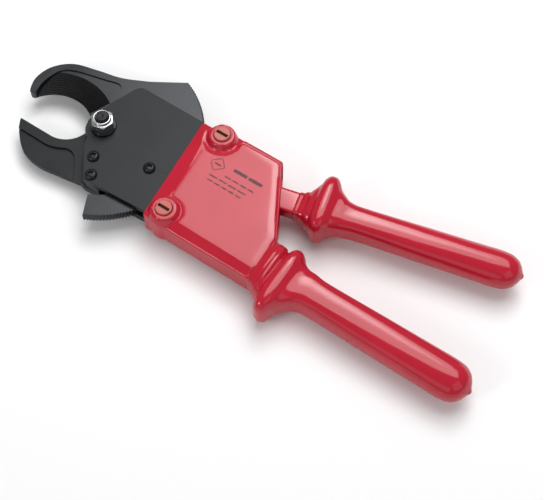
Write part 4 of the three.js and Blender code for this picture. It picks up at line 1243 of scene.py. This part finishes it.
def collar_part(at, half_width, half_height, shift):
    """Stations over the finger guard, from its front foot to where the hand part begins."""
    return [
        (at - 5.8, half_width * 0.8, half_height * 0.78, shift * 0.8, 2.6),
        (at - 4.6, half_width * 0.89, half_height * 0.88, shift, 3.2),
        (at - 3, half_width * 0.96, half_height * 0.955, shift, 3.6),
        (at - 1.5, half_width * 0.99, half_height * 0.99, shift, 3.8),
        (at, half_width, half_height, shift, 3.8),
        (at + 1.5, half_width * 0.99, half_height * 0.99, shift, 3.8),
        (at + 3, half_width * 0.96, half_height * 0.955, shift, 3.6),
        (at + 4.8, half_width * 0.88, half_height * 0.88, shift * 0.9, 3.2),
        (at + 7, half_width * 0.73, half_height * 0.8, shift * 0.65, 3),
        (at + 10.5, half_width * 0.6, half_height * 0.76, shift * 0.35, 3),
    ]


# %% The moving grip
GRIP_SMOOTH = math.radians(60)
LEVER_ANGLE = math.radians(13.7)
LEVER_MIDDLE = centre_of("moving_lever").z


def along_lever(along, across, up):
    """A place given along, across and above the moving lever, from its pivot."""
    x = HANDLE.x + along * math.cos(LEVER_ANGLE) - across * math.sin(LEVER_ANGLE)
    y = HANDLE.y + along * math.sin(LEVER_ANGLE) + across * math.cos(LEVER_ANGLE)
    return (x, y, LEVER_MIDDLE + up)


SHANK_HALF, SHANK_SHIFT = 7.6, -1.0
moving_stations = [
    (30, SHANK_HALF, 5, SHANK_SHIFT, 7),
    (31, SHANK_HALF, 5, SHANK_SHIFT, 7),
    (48, SHANK_HALF, 5, SHANK_SHIFT, 7),
    (50.2, SHANK_HALF + 0.1, 5.05, SHANK_SHIFT, 6.5),
    (50.9, SHANK_HALF + 0.5, 5.7, SHANK_SHIFT, 6),
    (53.4, SHANK_HALF + 0.7, 6.1, SHANK_SHIFT, 5.5),
    (54, SHANK_HALF + 1.3, 6.9, SHANK_SHIFT, 5),
    (56.4, SHANK_HALF + 2.2, 7.7, SHANK_SHIFT + 0.2, 4),
    (57.2, SHANK_HALF + 3.2, 8.6, SHANK_SHIFT + 0.6, 3.4),
    (59.2, SHANK_HALF + 5.6, 10.2, SHANK_SHIFT + 1.4, 2.8),
]
moving_stations += collar_part(67, 20, 14, 2.5)
moving_stations += hand_part(82, 191, 9.9, 11.5, 10.6, 2.5)
moving_grip = grip_body(moving_stations, along_lever, "grip")
finish_piece(
    moving_grip, "moving_grip_skin", red_skin, "handle", ["moving_grip"], smooth=GRIP_SMOOTH
)

# %% The fixed grip
FIXED_Y = TANG.y
FIXED_MIDDLE = centre_of("fixed_grip").z


def along_fixed(along, across, up):
    return (along, FIXED_Y + across, FIXED_MIDDLE + up)


fixed_stations = [
    (REAR_X - 1.2, 15.6, 9.2, 1.0, 3.6),
    (REAR_X + 0.2, 16.2, 10.2, 0.8, 3.2),
    (REAR_X + 2.6, 16.6, 11.0, 0.4, 3),
    (REAR_X + 3.2, 17.2, 11.6, 0, 2.9),
    (REAR_X + 5.2, 17.5, 11.9, -0.6, 2.8),
    (REAR_X + 5.8, 18.0, 12.3, -1, 2.7),
    (REAR_X + 7.4, 18.2, 12.3, -1.6, 2.6),
]
fixed_stations += collar_part(149.4, 23.4, 14, -4.7)
fixed_stations += hand_part(165.4, 275, 11.4, 12.6, 11.2, 2.6)
fixed_grip = grip_body(fixed_stations, along_fixed, "grip")
finish_piece(
    fixed_grip, "fixed_grip_skin", red_skin, "frame", ["fixed_grip"], smooth=GRIP_SMOOTH
)

# %% [markdown]
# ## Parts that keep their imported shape
#
# The parts inside the boot are already right in shape. They only need a finish.

# %% Finishes of the inner parts
INNER_FINISHES = (
    (plate_black, ("jaw_spacer", "tang_spacer", "moving_lever")),
    (bronze, ("blade_bush",)),
    (nylon_dark, ("nut_insert",)),
    (screw_red, ("cover_nut_upper", "cover_nut_lower")),
    (spring_steel, ("drive_pawl", "drive_pawl_spring", "holding_pawl", "holding_pawl_spring")),
    (bright_zinc, ("stop_sleeve", "handle_pivot_pin", "drive_pawl_pin", "holding_pawl_pin")),
    (bright_zinc, ("tang_rivet_front", "tang_rivet_rear")),
)
for finish, names in INNER_FINISHES:
    for name in names:
        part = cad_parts[name]
        part.data.materials.clear()
        part.data.materials.append(finish)
print("inner parts:", sum(len(names) for finish, names in INNER_FINISHES))
